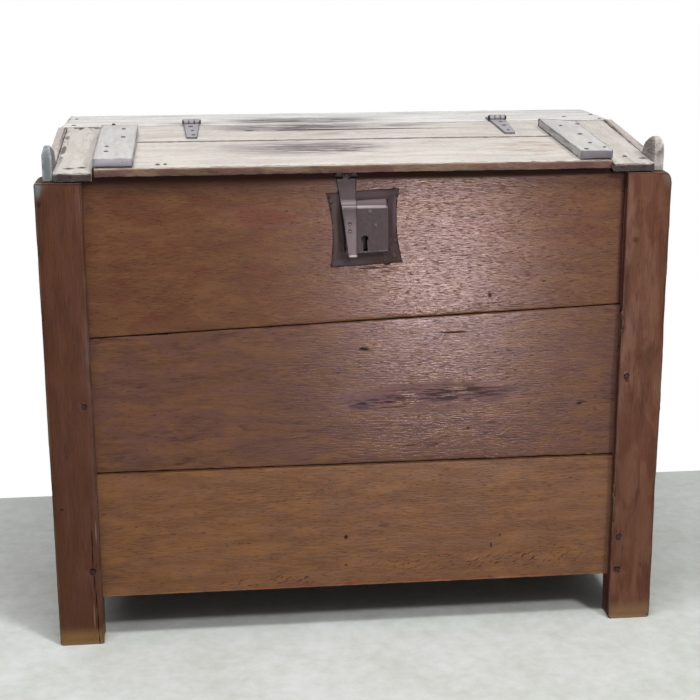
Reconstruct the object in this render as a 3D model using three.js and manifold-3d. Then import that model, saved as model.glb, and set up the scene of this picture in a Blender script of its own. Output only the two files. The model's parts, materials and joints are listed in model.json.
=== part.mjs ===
// A grain ark chest: four plank walls held in grooved corner posts, a fixed board along the back
// of the top, a sloping lid on two strap hinges, and a hasp that drops over a box lock.
// Lengths are in millimetres, +X is the viewer's right, +Y the back, +Z up. The origin is on the
// ground, at the middle of the chest.
import * as THREE from "three";
import { mergeVertices } from "three/addons/utils/BufferGeometryUtils.js";
import Module from "manifold-3d";

const wasm = await Module();
wasm.setup();

// Overall sizes
const chestWidth = 1300; // over the posts
const chestDepth = 650; // face of the front posts to the back of the rear posts
const plankUnderside = 100; // ground to the lowest planks

// Running clearances
const seatGap = 0.3; // between pieces that rest on or in each other
const turnGap = 0.5; // between knuckles that turn on one pin
const overrun = 10; // how far a cutting shape reaches past what it cuts

// Corner posts
const postWidth = 95; // across the front
const postThickness = 54; // front to back
const postShoulderRadius = 11; // outer top corner
const postFootRadius = 5;

// Front and back walls
const plankRecess = 22; // post face to plank face
const plankThickness = 25;
const plankGrooveDepth = 30;
const plankJointGap = 1.8;
const plankEndPlay = 1;
const lowerJointHeight = 382;
const upperJointLeftHeight = 675; // the upper planks are cut to a taper
const upperJointRightHeight = 717;
const backLowerJointHeight = 390;
const backUpperJointHeight = 705;

// Side walls
const sideInset = 18; // outer face of a post to outer face of a side board
const sideThickness = 20;
const sideGrooveDepth = 15;
const sideLowerJointHeight = 400;
const sideUpperJointHeight = 712;

// Ear at the front of each top side board
const earInset = 8; // post face to the front of the ear
const earLength = 92; // front to back, at its root
const earCrestRise = 51.5; // above the front edge of the end board
const earShoulderRise = 21.5; // the same, where its front starts to curve back
const earCrestPlace = 26; // front of the ear to its highest point
const earTaperDrop = 16; // height over which the tip narrows
const earTaper = 4; // taken off each side at the tip

// Floor of the chest
const ledgerHeight = 30;
const ledgerDepth = 28;
const floorThickness = 22;
const floorBoardCount = 5;
const floorJointGap = 0.6;

// Top of the chest
const rearTopHeight = 1066;
const lidRun = 404; // face of the front posts to the rear joint, along Y
const rearBoardThickness = 20;
const rearBoardInset = 25; // outer face of a post to the end of the board
const rearJointGap = 0.8;
const rearArrisRadius = 3;
const bearerHeight = 45;
const bearerDepth = 42;
const bearerLip = 12; // how far the bearer reaches in front of the rear joint
const endBoardFall = 47.5; // rear joint to front edge
const endBoardThickness = 18;
const leftEndBoardWidth = 77;
const rightEndBoardWidth = 86;
const boardFrontInset = 1;
const boardRearGap = 1.2; // rear edge of a sloping board to the rear joint
const boardArrisRadius = 5;

// Lid
const lidFall = 38; // rear joint to front edge
const lidThickness = 20;
const lidSideGap = 3;
const lidJointPlace = 236; // face of the front posts to the joint between the lid boards
const lidJointGap = 1.2;
const battenThickness = 19;
const leftBattenWidth = 80;
const leftBattenLength = 326;
const rightBattenFrontWidth = 69;
const rightBattenRearWidth = 81;
const rightBattenInnerLength = 333;
const rightBattenOuterLength = 300;

// Strap hinges on the top
const knuckleRadius = 7;
const hingePinRadius = 3;
const hingePinPlay = 0.3;
const hingePinHeadRadius = 5;
const hingePinHeadLength = 2.5;
const strapThickness = 4;
const strapRootWidth = 36;
const strapTipWidth = 23;
const strapLength = 148;
const strapCornerRadius = 4;
const hingeLeafLength = 46;
const leftHingeInset = 314; // outer face of the left posts to the middle of the hinge
const rightHingeInset = 288; // the same on the right

// Hasp that hangs from the front of the lid
const haspPlace = -26; // middle of its knuckles, across the chest
const haspAxisInset = 14; // post face to the axis
const haspKnuckleRadius = 4.5;
const haspPinRadius = 2;
const haspPinHeadRadius = 3.6;
const haspPinHeadLength = 2;
const haspWidth = 43; // over its knuckles
const haspEdgeInset = 0.9; // end of the knuckles to the straight edge of the plate
const haspPlateWidth = 40; // at its shoulders
const haspRest = 0.6; // face of the case to the back of the plate
const haspKnuckleWidth = 16;
const haspPlateThickness = 3;
const haspLength = 168.5; // axis to tip
const haspShoulderDrop = 9; // axis to the full width of the plate
const haspBendDrop = 53; // axis to the start of the step forwards
const haspBendHeight = 12;
const haspLipHeight = 6;
const haspLipReach = 1.8;
const haspBendWidth = 31.5;
const haspTipWidth = 17.5;
const haspLeafLength = 96;

// Staple riveted to the back of the hasp
const stapleInset = 15; // straight edge of the hasp to the staple
const stapleDrop = 106; // axis to the middle of the staple
const stapleSpacing = 15; // between its two legs
const stapleRodRadius = 2;
const stapleReach = 10.6; // back of the hasp to the end of the loop
const stapleHeadRadius = 3.8;
const stapleHeadHeight = 1.3;

// Box lock on the front
const lockPlace = 12; // middle of the lock plate, across the chest
const lockDrop = 135.5; // front edge of the lid's top to the middle of the plate
const lockTurn = THREE.MathUtils.degToRad(3);
const lockPlateWidth = 152;
const lockPlateHeight = 156;
const lockPlateWaist = 9; // how far each side curves in
const lockPlateThickness = 2;
const caseWidth = 90;
const caseHeight = 95; // of its flat face
const caseOffset = 3; // middle of the case to the right of the plate's middle
const caseRise = -1; // middle of the case against the plate's middle
const caseDepth = 14;
const caseWall = 2;
const caseSlopeHeight = 12; // its sloping top
const keyholeRadius = 6.3;
const keyholeSlotWidth = 9.4; // at its flared foot
const keyholeWaistWidth = 6.5;
const keyholeLength = 33; // top of the round hole to the end of the slot
const keyholePlace = -5.4; // from the middle of the case
const keyholeDrop = 17.7; // middle of the case to the middle of the round hole
const slotPlay = 1.6; // staple to the edge of its slot
const boltHeight = 7.6;
const boltThickness = 3;
const boltLength = 66;
const boltTravel = 11.5;
const boltFacePlay = 0.5; // behind the face of the case
const boltTipPlay = 2.5; // tip of the drawn bolt to the staple
const boltGuideWidth = 6;
const boltGuideWall = 4;
const boltGuidePlay = 0.3;
const boltGuideInset = 10; // tip of the drawn bolt to its left guide
const boltNotchWidth = 12;
const boltNotchDepth = 2.6;
const springThickness = 1;
const springWidth = 6;
const springLength = 46;
const springRise = 7;

// Pegs through the posts
const pegRadius = 5;
const pegPlay = 0.2;
const pegInset = 17.5; // inner face of a post to the middle of a peg
const leftPegHeights = [535, 168];
const rightPegHeights = [563, 195, 118];
const rearPegHeights = [560, 180];

// Smoothness of round shapes
const roundSteps = 12; // in half a circle
const curveSteps = 10; // in a long curve
const cornerSteps = 4;

// Places worked out from the sizes above
const halfWidth = chestWidth / 2;
const halfDepth = chestDepth / 2;
const front = -halfDepth;
const back = halfDepth;
const postInner = halfWidth - postWidth;
const sideOuter = halfWidth - sideInset;
const sideInner = sideOuter - sideThickness;
const frontPlankFace = front + plankRecess;
const frontPlankBack = frontPlankFace + plankThickness;
const backPlankFace = back - plankRecess;
const backPlankInner = backPlankFace - plankThickness;
const rearJoint = front + lidRun;
const rearUnderside = rearTopHeight - rearBoardThickness;
const wallTop = rearUnderside - seatGap;
const lidPitch = Math.atan(lidFall / lidRun);
const endPitch = Math.atan(endBoardFall / lidRun);
const lidFrontHeight = rearTopHeight - lidFall;
const endBoardFrontHeight = rearTopHeight - endBoardFall;
const earHeight = endBoardFrontHeight + earCrestRise;
const earShoulderHeight = endBoardFrontHeight + earShoulderRise;
const lockHeight = lidFrontHeight - lockDrop;
const lidLeft = -(sideInner - seatGap - leftEndBoardWidth - lidSideGap);
const lidRight = sideInner - seatGap - rightEndBoardWidth - lidSideGap;
const hingeAxisHeight = rearTopHeight + knuckleRadius + seatGap;
const clearHeight = hingeAxisHeight + battenThickness + overrun; // above every board

// Heights of the sloping surfaces at a place y
const endTopAt = (y) => rearTopHeight + (y - rearJoint) * Math.tan(endPitch);
const endUnderAt = (y) => endTopAt(y) - endBoardThickness / Math.cos(endPitch);
const lidTopAt = (y) => rearTopHeight + (y - rearJoint) * Math.tan(lidPitch);
const lidUnderAt = (y) => lidTopAt(y) - lidThickness / Math.cos(lidPitch);
const postTopAt = (y) => endUnderAt(y) - seatGap;

// Finishes
const finish = (color, roughness, metalness = 0) =>
  new THREE.MeshStandardMaterial({ color, roughness, metalness });
const postOak = finish(0x5a3a2e, 0.5);
const wallOak = finish(0x744f39, 0.45);
const innerOak = finish(0x8a6a4c, 0.8);
const greyOak = finish(0xc9bdae, 0.85);
const battenOak = finish(0xbdb9b0, 0.85);
const pegOak = finish(0x4a3026, 0.6);
const iron = finish(0x62565a, 0.55, 0.8);
const darkIron = finish(0x3f3a3c, 0.6, 0.8);
const springSteel = finish(0x55585c, 0.4, 0.9);

// Shapes

// A closed outline, drawn either way round, from [x, y] or [x, y, radius] corners.
function outline(corners) {
  const shape = new THREE.Shape();
  corners.forEach(([x, y, radius = 0], i) => {
    const here = new THREE.Vector2(x, y);
    const [bx, by] = corners.at(i - 1);
    const [ax, ay] = corners[(i + 1) % corners.length];
    const before = new THREE.Vector2(bx, by).sub(here);
    const after = new THREE.Vector2(ax, ay).sub(here);
    const cut = Math.min(radius, before.length() / 2, after.length() / 2);
    const start = here.clone().add(before.setLength(cut));
    const end = here.clone().add(after.setLength(cut));
    if (i === 0) shape.moveTo(start.x, start.y);
    else shape.lineTo(start.x, start.y);
    if (cut > 0) shape.quadraticCurveTo(here.x, here.y, end.x, end.y);
  });
  shape.closePath();
  return shape;
}

const rectangle = (x0, y0, x1, y1, radius = 0) =>
  outline([
    [x0, y0, radius],
    [x1, y0, radius],
    [x1, y1, radius],
    [x0, y1, radius],
  ]);

// A circle as an outline, with its lowest point first.
function disc(x, y, radius) {
  const shape = new THREE.Shape();
  shape.absarc(x, y, radius, -Math.PI / 2, (3 * Math.PI) / 2, false);
  return shape;
}

// Solids

function extrude(shape, depth, steps = cornerSteps) {
  return new THREE.ExtrudeGeometry(shape, { depth, bevelEnabled: false, curveSegments: steps });
}

// An outline in (Y, Z), extruded from x0 to x1.
function alongX(shape, x0, x1, steps) {
  const turn = new THREE.Matrix4().makeBasis(
    new THREE.Vector3(0, 1, 0),
    new THREE.Vector3(0, 0, 1),
    new THREE.Vector3(1, 0, 0),
  );
  return extrude(shape, x1 - x0, steps).applyMatrix4(turn).translate(x0, 0, 0);
}

// An outline in (X, Z), extruded from y0 to y1.
function alongY(shape, y0, y1, steps) {
  return extrude(shape, y1 - y0, steps).rotateX(Math.PI / 2).translate(0, y1, 0);
}

// An outline in (X, Y), extruded from z0 to z1.
function alongZ(shape, z0, z1, steps) {
  return extrude(shape, z1 - z0, steps).translate(0, 0, z0);
}

// A block between two opposite corners.
function block([x0, y0, z0], [x1, y1, z1]) {
  return new THREE.BoxGeometry(x1 - x0, y1 - y0, z1 - z0).translate(
    (x0 + x1) / 2,
    (y0 + y1) / 2,
    (z0 + z1) / 2,
  );
}

// A geometry as a solid that can be joined and cut.
function solid(geometry) {
  const plain = geometry.clone();
  plain.deleteAttribute("normal");
  plain.deleteAttribute("uv");
  const merged = mergeVertices(plain, 1e-4);
  return new wasm.Manifold(
    new wasm.Mesh({
      numProp: 3,
      vertProperties: merged.attributes.position.array,
      triVerts: new Uint32Array(merged.index.array),
    }),
  );
}

// The geometry of a solid.
function surface(body) {
  const mesh = body.getMesh();
  const geometry = new THREE.BufferGeometry();
  geometry.setAttribute("position", new THREE.BufferAttribute(mesh.vertProperties, 3));
  geometry.setIndex(new THREE.BufferAttribute(mesh.triVerts, 1));
  geometry.computeVertexNormals();
  return geometry;
}

const cut = (geometry, ...tools) =>
  surface(tools.reduce((body, tool) => body.subtract(solid(tool)), solid(geometry)));
const join = (geometry, ...others) =>
  surface(others.reduce((body, other) => body.add(solid(other)), solid(geometry)));
const overlap = (geometry, other) => surface(solid(geometry).intersect(solid(other)));

// Everything above a line over (Y, Z), between two X places.
function above(heightAt, x0 = -halfWidth - overrun, x1 = halfWidth + overrun) {
  const y0 = front - overrun;
  const y1 = back + overrun;
  const shape = outline([
    [y0, heightAt(y0)],
    [y1, heightAt(y1)],
    [y1, clearHeight],
    [y0, clearHeight],
  ]);
  return alongX(shape, x0, x1);
}

// A round rod along X, about an axis at (y, z).
const rodX = (x0, x1, radius, y = 0, z = 0) => alongX(disc(y, z, radius), x0, x1, roundSteps);
const rodY = (x, z, radius, y0, y1) => alongY(disc(x, z, radius), y0, y1, roundSteps);
const rodZ = (x, y, radius, z0, z1) => alongZ(disc(x, y, radius), z0, z1, roundSteps);

// A block between two X places given for the right side, mirrored by the sign.
function sideBlock(sign, near, far, y0, y1, z0, z1) {
  const [x0, x1] = [sign * near, sign * far].sort((a, b) => a - b);
  return block([x0, y0, z0], [x1, y1, z1]);
}

const chest = new THREE.Group();

// Adds a named mesh to a group.
function add(name, geometry, material, parent = chest) {
  const mesh = new THREE.Mesh(geometry, material);
  mesh.name = name;
  parent.add(mesh);
  return mesh;
}

// Adds a group at a place in another.
function addGroup(x, y, z, parent = chest) {
  const group = new THREE.Group();
  group.position.set(x, y, z);
  parent.add(group);
  return group;
}

const sides = [
  { side: "left", sign: -1, frontPegs: leftPegHeights },
  { side: "right", sign: 1, frontPegs: rightPegHeights },
];

// Corner posts

// Holes for the pegs in one post, through the post and the tongues of its planks.
function pegHoles(sign, heights, faceY) {
  const y0 = faceY - postThickness - overrun;
  const y1 = faceY + postThickness + overrun;
  return heights.map((height) =>
    rodY(sign * (postInner + pegInset), height, pegRadius + pegPlay, y0, y1),
  );
}

function plankGroove(sign, y0, y1) {
  return sideBlock(
    sign,
    postInner - overrun,
    postInner + plankGrooveDepth,
    y0 - seatGap,
    y1 + seatGap,
    plankUnderside - seatGap,
    clearHeight,
  );
}

function sideGroove(sign, y0, y1) {
  return sideBlock(
    sign,
    sideInner - seatGap,
    sideOuter + seatGap,
    y0,
    y1,
    plankUnderside - seatGap,
    clearHeight,
  );
}

function frontPost(sign, pegHeights) {
  const rear = front + postThickness;
  const face = outline([
    [sign * postInner, 0, postFootRadius],
    [sign * halfWidth, 0, postFootRadius],
    [sign * halfWidth, postTopAt(rear), postShoulderRadius],
    [sign * postInner, postTopAt(rear)],
  ]);
  return cut(
    alongY(face, front, rear),
    above(postTopAt),
    plankGroove(sign, frontPlankFace, frontPlankBack),
    sideGroove(sign, rear - sideGrooveDepth, rear + overrun),
    ...pegHoles(sign, pegHeights, front),
  );
}

function rearPost(sign) {
  const near = back - postThickness;
  const face = outline([
    [sign * postInner, 0, postFootRadius],
    [sign * halfWidth, 0, postFootRadius],
    [sign * halfWidth, wallTop, postFootRadius],
    [sign * postInner, wallTop],
  ]);
  return cut(
    alongY(face, near, back),
    plankGroove(sign, backPlankInner, backPlankFace),
    sideGroove(sign, near - overrun, near + sideGrooveDepth),
    ...pegHoles(sign, rearPegHeights, back),
  );
}

for (const { side, sign, frontPegs } of sides) {
  add(`front_${side}_post`, frontPost(sign, frontPegs), postOak);
  add(`rear_${side}_post`, rearPost(sign), postOak);
}

// Front and back planks

const plankEnd = postInner + plankGrooveDepth - plankEndPlay;
const halfJoint = plankJointGap / 2;

// Height at x of an edge that runs between its heights at the two posts' inner faces.
const edgeAt = ([left, right], x) => left + ((right - left) * (x + postInner)) / (2 * postInner);
const level = (height) => [height, height];
const lift = (edge, amount) => edge.map((height) => height + amount);

// A plank between a lower and an upper edge.
function plank(lower, upper, y0, y1, tools) {
  const face = outline([
    [-plankEnd, edgeAt(lower, -plankEnd)],
    [plankEnd, edgeAt(lower, plankEnd)],
    [plankEnd, edgeAt(upper, plankEnd)],
    [-plankEnd, edgeAt(upper, -plankEnd)],
  ]);
  return cut(alongY(face, y0, y1), ...tools);
}

// A wall of three planks, named from the bottom, with the joints between them.
function wall(name, joints, top, y0, y1, tools) {
  const edges = [level(plankUnderside - halfJoint), ...joints, lift(top, halfJoint)];
  ["bottom", "middle", "top"].forEach((place, i) => {
    const lower = lift(edges[i], halfJoint);
    const upper = lift(edges[i + 1], -halfJoint);
    add(`${name}_plank_${place}`, plank(lower, upper, y0, y1, tools), wallOak);
  });
}

wall(
  "front",
  [level(lowerJointHeight), [upperJointLeftHeight, upperJointRightHeight]],
  level(lidFrontHeight),
  frontPlankFace,
  frontPlankBack,
  [
    above((y) => lidUnderAt(y) - seatGap),
    above(postTopAt, -halfWidth, lidLeft - lidSideGap / 2),
    above(postTopAt, lidRight + lidSideGap / 2, halfWidth),
    ...sides.flatMap(({ sign, frontPegs }) => pegHoles(sign, frontPegs, front)),
  ],
);
wall(
  "back",
  [level(backLowerJointHeight), level(backUpperJointHeight)],
  level(wallTop),
  backPlankInner,
  backPlankFace,
  sides.flatMap(({ sign }) => pegHoles(sign, rearPegHeights, back)),
);

// Pegs

for (const { side, sign, frontPegs } of sides) {
  const x = sign * (postInner + pegInset);
  frontPegs.forEach((height, i) =>
    add(`front_${side}_peg_${i + 1}`, rodY(x, height, pegRadius, front, front + postThickness), pegOak),
  );
  rearPegHeights.forEach((height, i) =>
    add(`rear_${side}_peg_${i + 1}`, rodY(x, height, pegRadius, back - postThickness, back), pegOak),
  );
}

// Side boards

const sideTongueFront = front + postThickness - sideGrooveDepth + seatGap;
const sideTongueBack = back - postThickness + sideGrooveDepth - seatGap;

function sideBoard(sign, z0, z1) {
  return sideBlock(sign, sideInner, sideOuter, sideTongueFront, sideTongueBack, z0, z1);
}

// The top board rises with the end board and ends in an ear that stands on the front post.
function earedOutline() {
  const earFront = front + earInset;
  const earRoot = earFront + earLength;
  const crest = earFront + earCrestPlace;
  const rise = earHeight - endTopAt(earRoot);
  const low = sideUpperJointHeight + halfJoint;
  const backSteepShare = 0.22;
  const backSwellShare = 0.55;
  const backCrestShare = 0.35;
  const noseShare = 0.6;
  const shape = new THREE.Shape();
  shape.moveTo(sideTongueFront, low);
  shape.lineTo(sideTongueBack, low);
  shape.lineTo(sideTongueBack, wallTop);
  shape.lineTo(rearJoint, wallTop);
  shape.lineTo(rearJoint, endTopAt(rearJoint));
  shape.lineTo(earRoot, endTopAt(earRoot));
  shape.bezierCurveTo(
    earRoot - backSteepShare * (earRoot - crest),
    endTopAt(earRoot) + backSwellShare * rise,
    crest + backCrestShare * (earRoot - crest),
    earHeight,
    crest,
    earHeight,
  );
  shape.bezierCurveTo(
    crest - noseShare * earCrestPlace,
    earHeight,
    earFront,
    earHeight - (1 - noseShare) * (earHeight - earShoulderHeight),
    earFront,
    earShoulderHeight,
  );
  shape.lineTo(earFront, postTopAt(earFront) + seatGap);
  shape.lineTo(sideTongueFront, postTopAt(sideTongueFront) + seatGap);
  shape.closePath();
  return shape;
}

// A wedge that narrows the tip of an ear on one of its faces.
function earTaperCut(x, outward) {
  const start = earHeight - earTaperDrop;
  const face = outline([
    [x, start],
    [x - outward * earTaper, earHeight],
    [x - outward * earTaper, earHeight + overrun],
    [x + outward * overrun, earHeight + overrun],
    [x + outward * overrun, start],
  ]);
  return alongY(face, front - overrun, front + earInset + earLength);
}

for (const { side, sign } of sides) {
  const [x0, x1] = [sign * sideInner, sign * sideOuter].sort((a, b) => a - b);
  add(
    `${side}_side_board_bottom`,
    sideBoard(sign, plankUnderside, sideLowerJointHeight - halfJoint),
    wallOak,
  );
  add(
    `${side}_side_board_middle`,
    sideBoard(sign, sideLowerJointHeight + halfJoint, sideUpperJointHeight - halfJoint),
    wallOak,
  );
  add(
    `${side}_side_board_top`,
    cut(alongX(earedOutline(), x0, x1, curveSteps), earTaperCut(x0, -1), earTaperCut(x1, 1)),
    greyOak,
  );
}

// Floor of the chest: boards across two ledgers

const ledgerTop = plankUnderside + ledgerHeight;
const ledgerEnd = postInner - seatGap;
const frontLedgerFace = frontPlankBack + seatGap;
const backLedgerFace = backPlankInner - seatGap;

add(
  "front_floor_ledger",
  block(
    [-ledgerEnd, frontLedgerFace, plankUnderside],
    [ledgerEnd, frontLedgerFace + ledgerDepth, ledgerTop],
  ),
  innerOak,
);
add(
  "back_floor_ledger",
  block(
    [-ledgerEnd, backLedgerFace - ledgerDepth, plankUnderside],
    [ledgerEnd, backLedgerFace, ledgerTop],
  ),
  innerOak,
);

const floorEnd = sideInner - seatGap;
const floorBottom = ledgerTop + seatGap;
const floorTop = floorBottom + floorThickness;
const floorBoardWidth = (2 * floorEnd - (floorBoardCount - 1) * floorJointGap) / floorBoardCount;

// The corners of the outer boards are notched round the posts.
function postNotches() {
  const frontLimit = front + postThickness + seatGap;
  const backLimit = back - postThickness - seatGap;
  const near = postInner - seatGap;
  return sides.flatMap(({ sign }) => [
    sideBlock(sign, near, halfWidth, front, frontLimit, plankUnderside, floorTop + overrun),
    sideBlock(sign, near, halfWidth, backLimit, back, plankUnderside, floorTop + overrun),
  ]);
}

for (let i = 0; i < floorBoardCount; i++) {
  const x0 = -floorEnd + i * (floorBoardWidth + floorJointGap);
  const x1 = x0 + floorBoardWidth;
  const board = block([x0, frontLedgerFace, floorBottom], [x1, backLedgerFace, floorTop]);
  add(`floor_board_${i + 1}`, cut(board, ...postNotches()), innerOak);
}

// Fixed boards of the top

add(
  "rear_top_board",
  alongX(
    rectangle(rearJoint + rearJointGap, rearUnderside, back, rearTopHeight, rearArrisRadius),
    -(halfWidth - rearBoardInset),
    halfWidth - rearBoardInset,
  ),
  greyOak,
);

const bearerFront = rearJoint - bearerLip;
const bearerBack = bearerFront + bearerDepth;
add(
  "rear_top_bearer",
  alongX(
    outline([
      [bearerFront, wallTop - bearerHeight],
      [bearerBack, wallTop - bearerHeight],
      [bearerBack, wallTop],
      [rearJoint, lidUnderAt(rearJoint) - seatGap],
      [bearerFront, lidUnderAt(bearerFront) - seatGap],
    ]),
    -floorEnd,
    floorEnd,
  ),
  innerOak,
);

// Outline of a sloping board from y0 to y1.
function slopingBoard(y0, y1, underAt, topAt, frontRadius = 0) {
  return outline([
    [y0, underAt(y0), frontRadius / 2],
    [y1, underAt(y1)],
    [y1, topAt(y1)],
    [y0, topAt(y0), frontRadius],
  ]);
}

const boardFront = front + boardFrontInset;
const boardRear = rearJoint - boardRearGap;
const endBoard = slopingBoard(boardFront, boardRear, endUnderAt, endTopAt, boardArrisRadius);
add("left_end_board", alongX(endBoard, -floorEnd, -floorEnd + leftEndBoardWidth), greyOak);
add("right_end_board", alongX(endBoard, floorEnd - rightEndBoardWidth, floorEnd), greyOak);

// Hasp leaf, let into the underside of the lid

const haspAxisY = front + haspAxisInset;
const haspAxisHeight = lidUnderAt(haspAxisY) - seatGap - haspKnuckleRadius;
const haspHalf = haspWidth / 2;
const haspKnuckleHalf = haspKnuckleWidth / 2;
const leafUnder = haspKnuckleRadius + seatGap;
const leafTop = leafUnder + haspPlateThickness;

// The leaf's plate about the hasp's axis, grown on all sides but the front by a play.
function haspLeafPlate(play = 0) {
  return block(
    [-haspHalf - play, -haspKnuckleRadius - play, leafUnder - play],
    [haspHalf + play, haspLeafLength + play, leafTop + play],
  );
}

function haspLeaf() {
  const web = block(
    [-haspHalf, -haspKnuckleRadius, 0],
    [haspHalf, -haspKnuckleRadius + haspPlateThickness, leafTop],
  );
  return cut(
    join(haspLeafPlate(), web, rodX(-haspHalf, haspHalf, haspKnuckleRadius)),
    rodX(-haspKnuckleHalf - turnGap, haspKnuckleHalf + turnGap, leafUnder),
    rodX(-haspWidth, haspWidth, haspPinRadius + hingePinPlay),
  );
}

// Lid boards and battens

function lidBoard(y0, y1, frontRadius) {
  return alongX(slopingBoard(y0, y1, lidUnderAt, lidTopAt, frontRadius), lidLeft, lidRight);
}

const haspLeafSeat = join(
  haspLeafPlate(seatGap),
  block(
    [-haspHalf - seatGap, -haspKnuckleRadius - seatGap, 0],
    [haspHalf + seatGap, haspPlateThickness, leafTop],
  ),
)
  .rotateX(lidPitch)
  .translate(haspPlace, haspAxisY, haspAxisHeight);

const lidJoint = front + lidJointPlace;
add(
  "lid_front_board",
  cut(lidBoard(boardFront, lidJoint - lidJointGap / 2, boardArrisRadius), haspLeafSeat),
  greyOak,
);
add("lid_rear_board", lidBoard(lidJoint + lidJointGap / 2, boardRear), greyOak);

// A batten lies on the lid: its outline from above, at the lid's slope.
function batten(corners) {
  const bottom = (y) => lidTopAt(y) + seatGap;
  const top = (y) => bottom(y) + battenThickness;
  const slab = slopingBoard(boardFront, boardRear, bottom, top, boardArrisRadius / 2);
  return overlap(
    alongX(slab, -halfWidth, halfWidth),
    alongZ(outline(corners), 0, clearHeight),
  );
}

add(
  "left_lid_batten",
  batten([
    [lidLeft, boardFront],
    [lidLeft + leftBattenWidth, boardFront],
    [lidLeft + leftBattenWidth, boardFront + leftBattenLength],
    [lidLeft, boardFront + leftBattenLength],
  ]),
  battenOak,
);
add(
  "right_lid_batten",
  batten([
    [lidRight, boardFront],
    [lidRight - rightBattenFrontWidth, boardFront],
    [lidRight - rightBattenRearWidth, boardFront + rightBattenInnerLength],
    [lidRight, boardFront + rightBattenOuterLength],
  ]),
  battenOak,
);

// Strap hinges: a tapered strap on the lid, a short leaf on the rear board, and a pin

const strapHalf = strapRootWidth / 2;
const knuckleSpan = strapRootWidth / 3;

function hingeStrap() {
  const plan = outline([
    [-strapHalf, 0],
    [strapHalf, 0],
    [strapTipWidth / 2, -strapLength, strapCornerRadius],
    [-strapTipWidth / 2, -strapLength, strapCornerRadius],
  ]);
  return cut(
    join(
      alongZ(plan, -knuckleRadius, strapThickness - knuckleRadius),
      rodX(-knuckleSpan / 2, knuckleSpan / 2, knuckleRadius),
    ),
    rodX(-strapRootWidth, -knuckleSpan / 2, knuckleRadius + turnGap),
    rodX(knuckleSpan / 2, strapRootWidth, knuckleRadius + turnGap),
    rodX(-strapRootWidth, strapRootWidth, hingePinRadius + hingePinPlay),
  );
}

function hingeLeaf() {
  const plan = rectangle(-strapHalf, 0, strapHalf, hingeLeafLength);
  const inner = knuckleSpan / 2 + turnGap;
  return cut(
    join(
      alongZ(plan, -knuckleRadius, strapThickness - knuckleRadius),
      rodX(-strapHalf, strapHalf, knuckleRadius),
    ),
    rodX(-inner, inner, knuckleRadius + turnGap),
    rodX(-strapRootWidth, strapRootWidth, hingePinRadius + hingePinPlay),
  );
}

// A pin with a riveted head at each end.
function headedPin(half, radius, headRadius, headLength) {
  const face = half + seatGap;
  const end = face + headLength;
  return join(
    rodX(-end, end, radius),
    rodX(-end, -face, headRadius),
    rodX(face, end, headRadius),
  );
}

const hinges = [
  { side: "left", x: leftHingeInset - halfWidth },
  { side: "right", x: halfWidth - rightHingeInset },
];
for (const { side, x } of hinges) {
  const hinge = addGroup(x, rearJoint, hingeAxisHeight);
  add(`${side}_hinge_strap`, hingeStrap(), iron, hinge).rotation.x = lidPitch;
  add(`${side}_hinge_leaf`, hingeLeaf(), iron, hinge);
  add(
    `${side}_hinge_pin`,
    headedPin(strapHalf, hingePinRadius, hingePinHeadRadius, hingePinHeadLength),
    darkIron,
    hinge,
  );
}

// Hasp: it hangs plumb from its pin and steps forwards over the lock

const plateFront = frontPlankFace - seatGap - lockPlateThickness;
const caseFace = plateFront - seatGap - caseDepth;
const haspBack = haspKnuckleRadius; // of its upper part, from the axis
const haspLowerBack = caseFace - haspRest - haspAxisY;
const haspEdge = haspHalf - haspEdgeInset;
const stapleX = haspEdge - stapleInset;

function haspPlate() {
  const bend = -haspBendDrop - haspBendHeight;
  const backLine = [
    [haspBack, 0],
    [haspBack, -haspBendDrop],
    [haspLowerBack, bend],
    [haspLowerBack, -haspLength + haspLipHeight],
    [haspLowerBack - haspLipReach, -haspLength],
  ];
  const frontLine = backLine.map(([y, z]) => [y - haspPlateThickness, z]).reverse();
  const face = outline([
    [haspKnuckleHalf, overrun],
    [haspKnuckleHalf, -haspShoulderDrop],
    [haspEdge, -haspShoulderDrop],
    [haspEdge, -haspLength],
    [haspEdge - haspTipWidth, -haspLength],
    [haspEdge - haspBendWidth, bend],
    [haspEdge - haspPlateWidth, -haspShoulderDrop],
    [-haspKnuckleHalf, -haspShoulderDrop],
    [-haspKnuckleHalf, overrun],
  ]);
  const blank = overlap(
    alongX(outline([...backLine, ...frontLine]), -haspWidth, haspWidth),
    alongY(face, haspLowerBack - overrun, haspBack + overrun),
  );
  return cut(
    join(blank, rodX(-haspKnuckleHalf, haspKnuckleHalf, haspKnuckleRadius)),
    rodX(-haspWidth, haspWidth, haspPinRadius + hingePinPlay),
    ...stapleLegs(stapleRodRadius + pegPlay, haspBack),
  );
}

const stapleHeights = [-stapleDrop - stapleSpacing / 2, -stapleDrop + stapleSpacing / 2];

// The staple's two legs, from in front of the hasp to a place behind it.
function stapleLegs(radius, y1) {
  const y0 = haspLowerBack - haspPlateThickness - stapleHeadHeight;
  return stapleHeights.map((z) => rodY(stapleX, z, radius, y0, y1));
}

function haspStaple() {
  const loopBack = haspLowerBack + stapleReach;
  const barY = loopBack - stapleRodRadius;
  const plateFace = haspLowerBack - haspPlateThickness - seatGap / 2;
  const [low, high] = stapleHeights;
  const legs = stapleLegs(stapleRodRadius, barY);
  const bar = rodZ(stapleX, barY, stapleRodRadius, low - stapleRodRadius, high + stapleRodRadius);
  const heads = stapleHeights.map((z) =>
    rodY(stapleX, z, stapleHeadRadius, plateFace - stapleHeadHeight, plateFace),
  );
  return join(bar, ...legs, ...heads);
}

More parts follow.
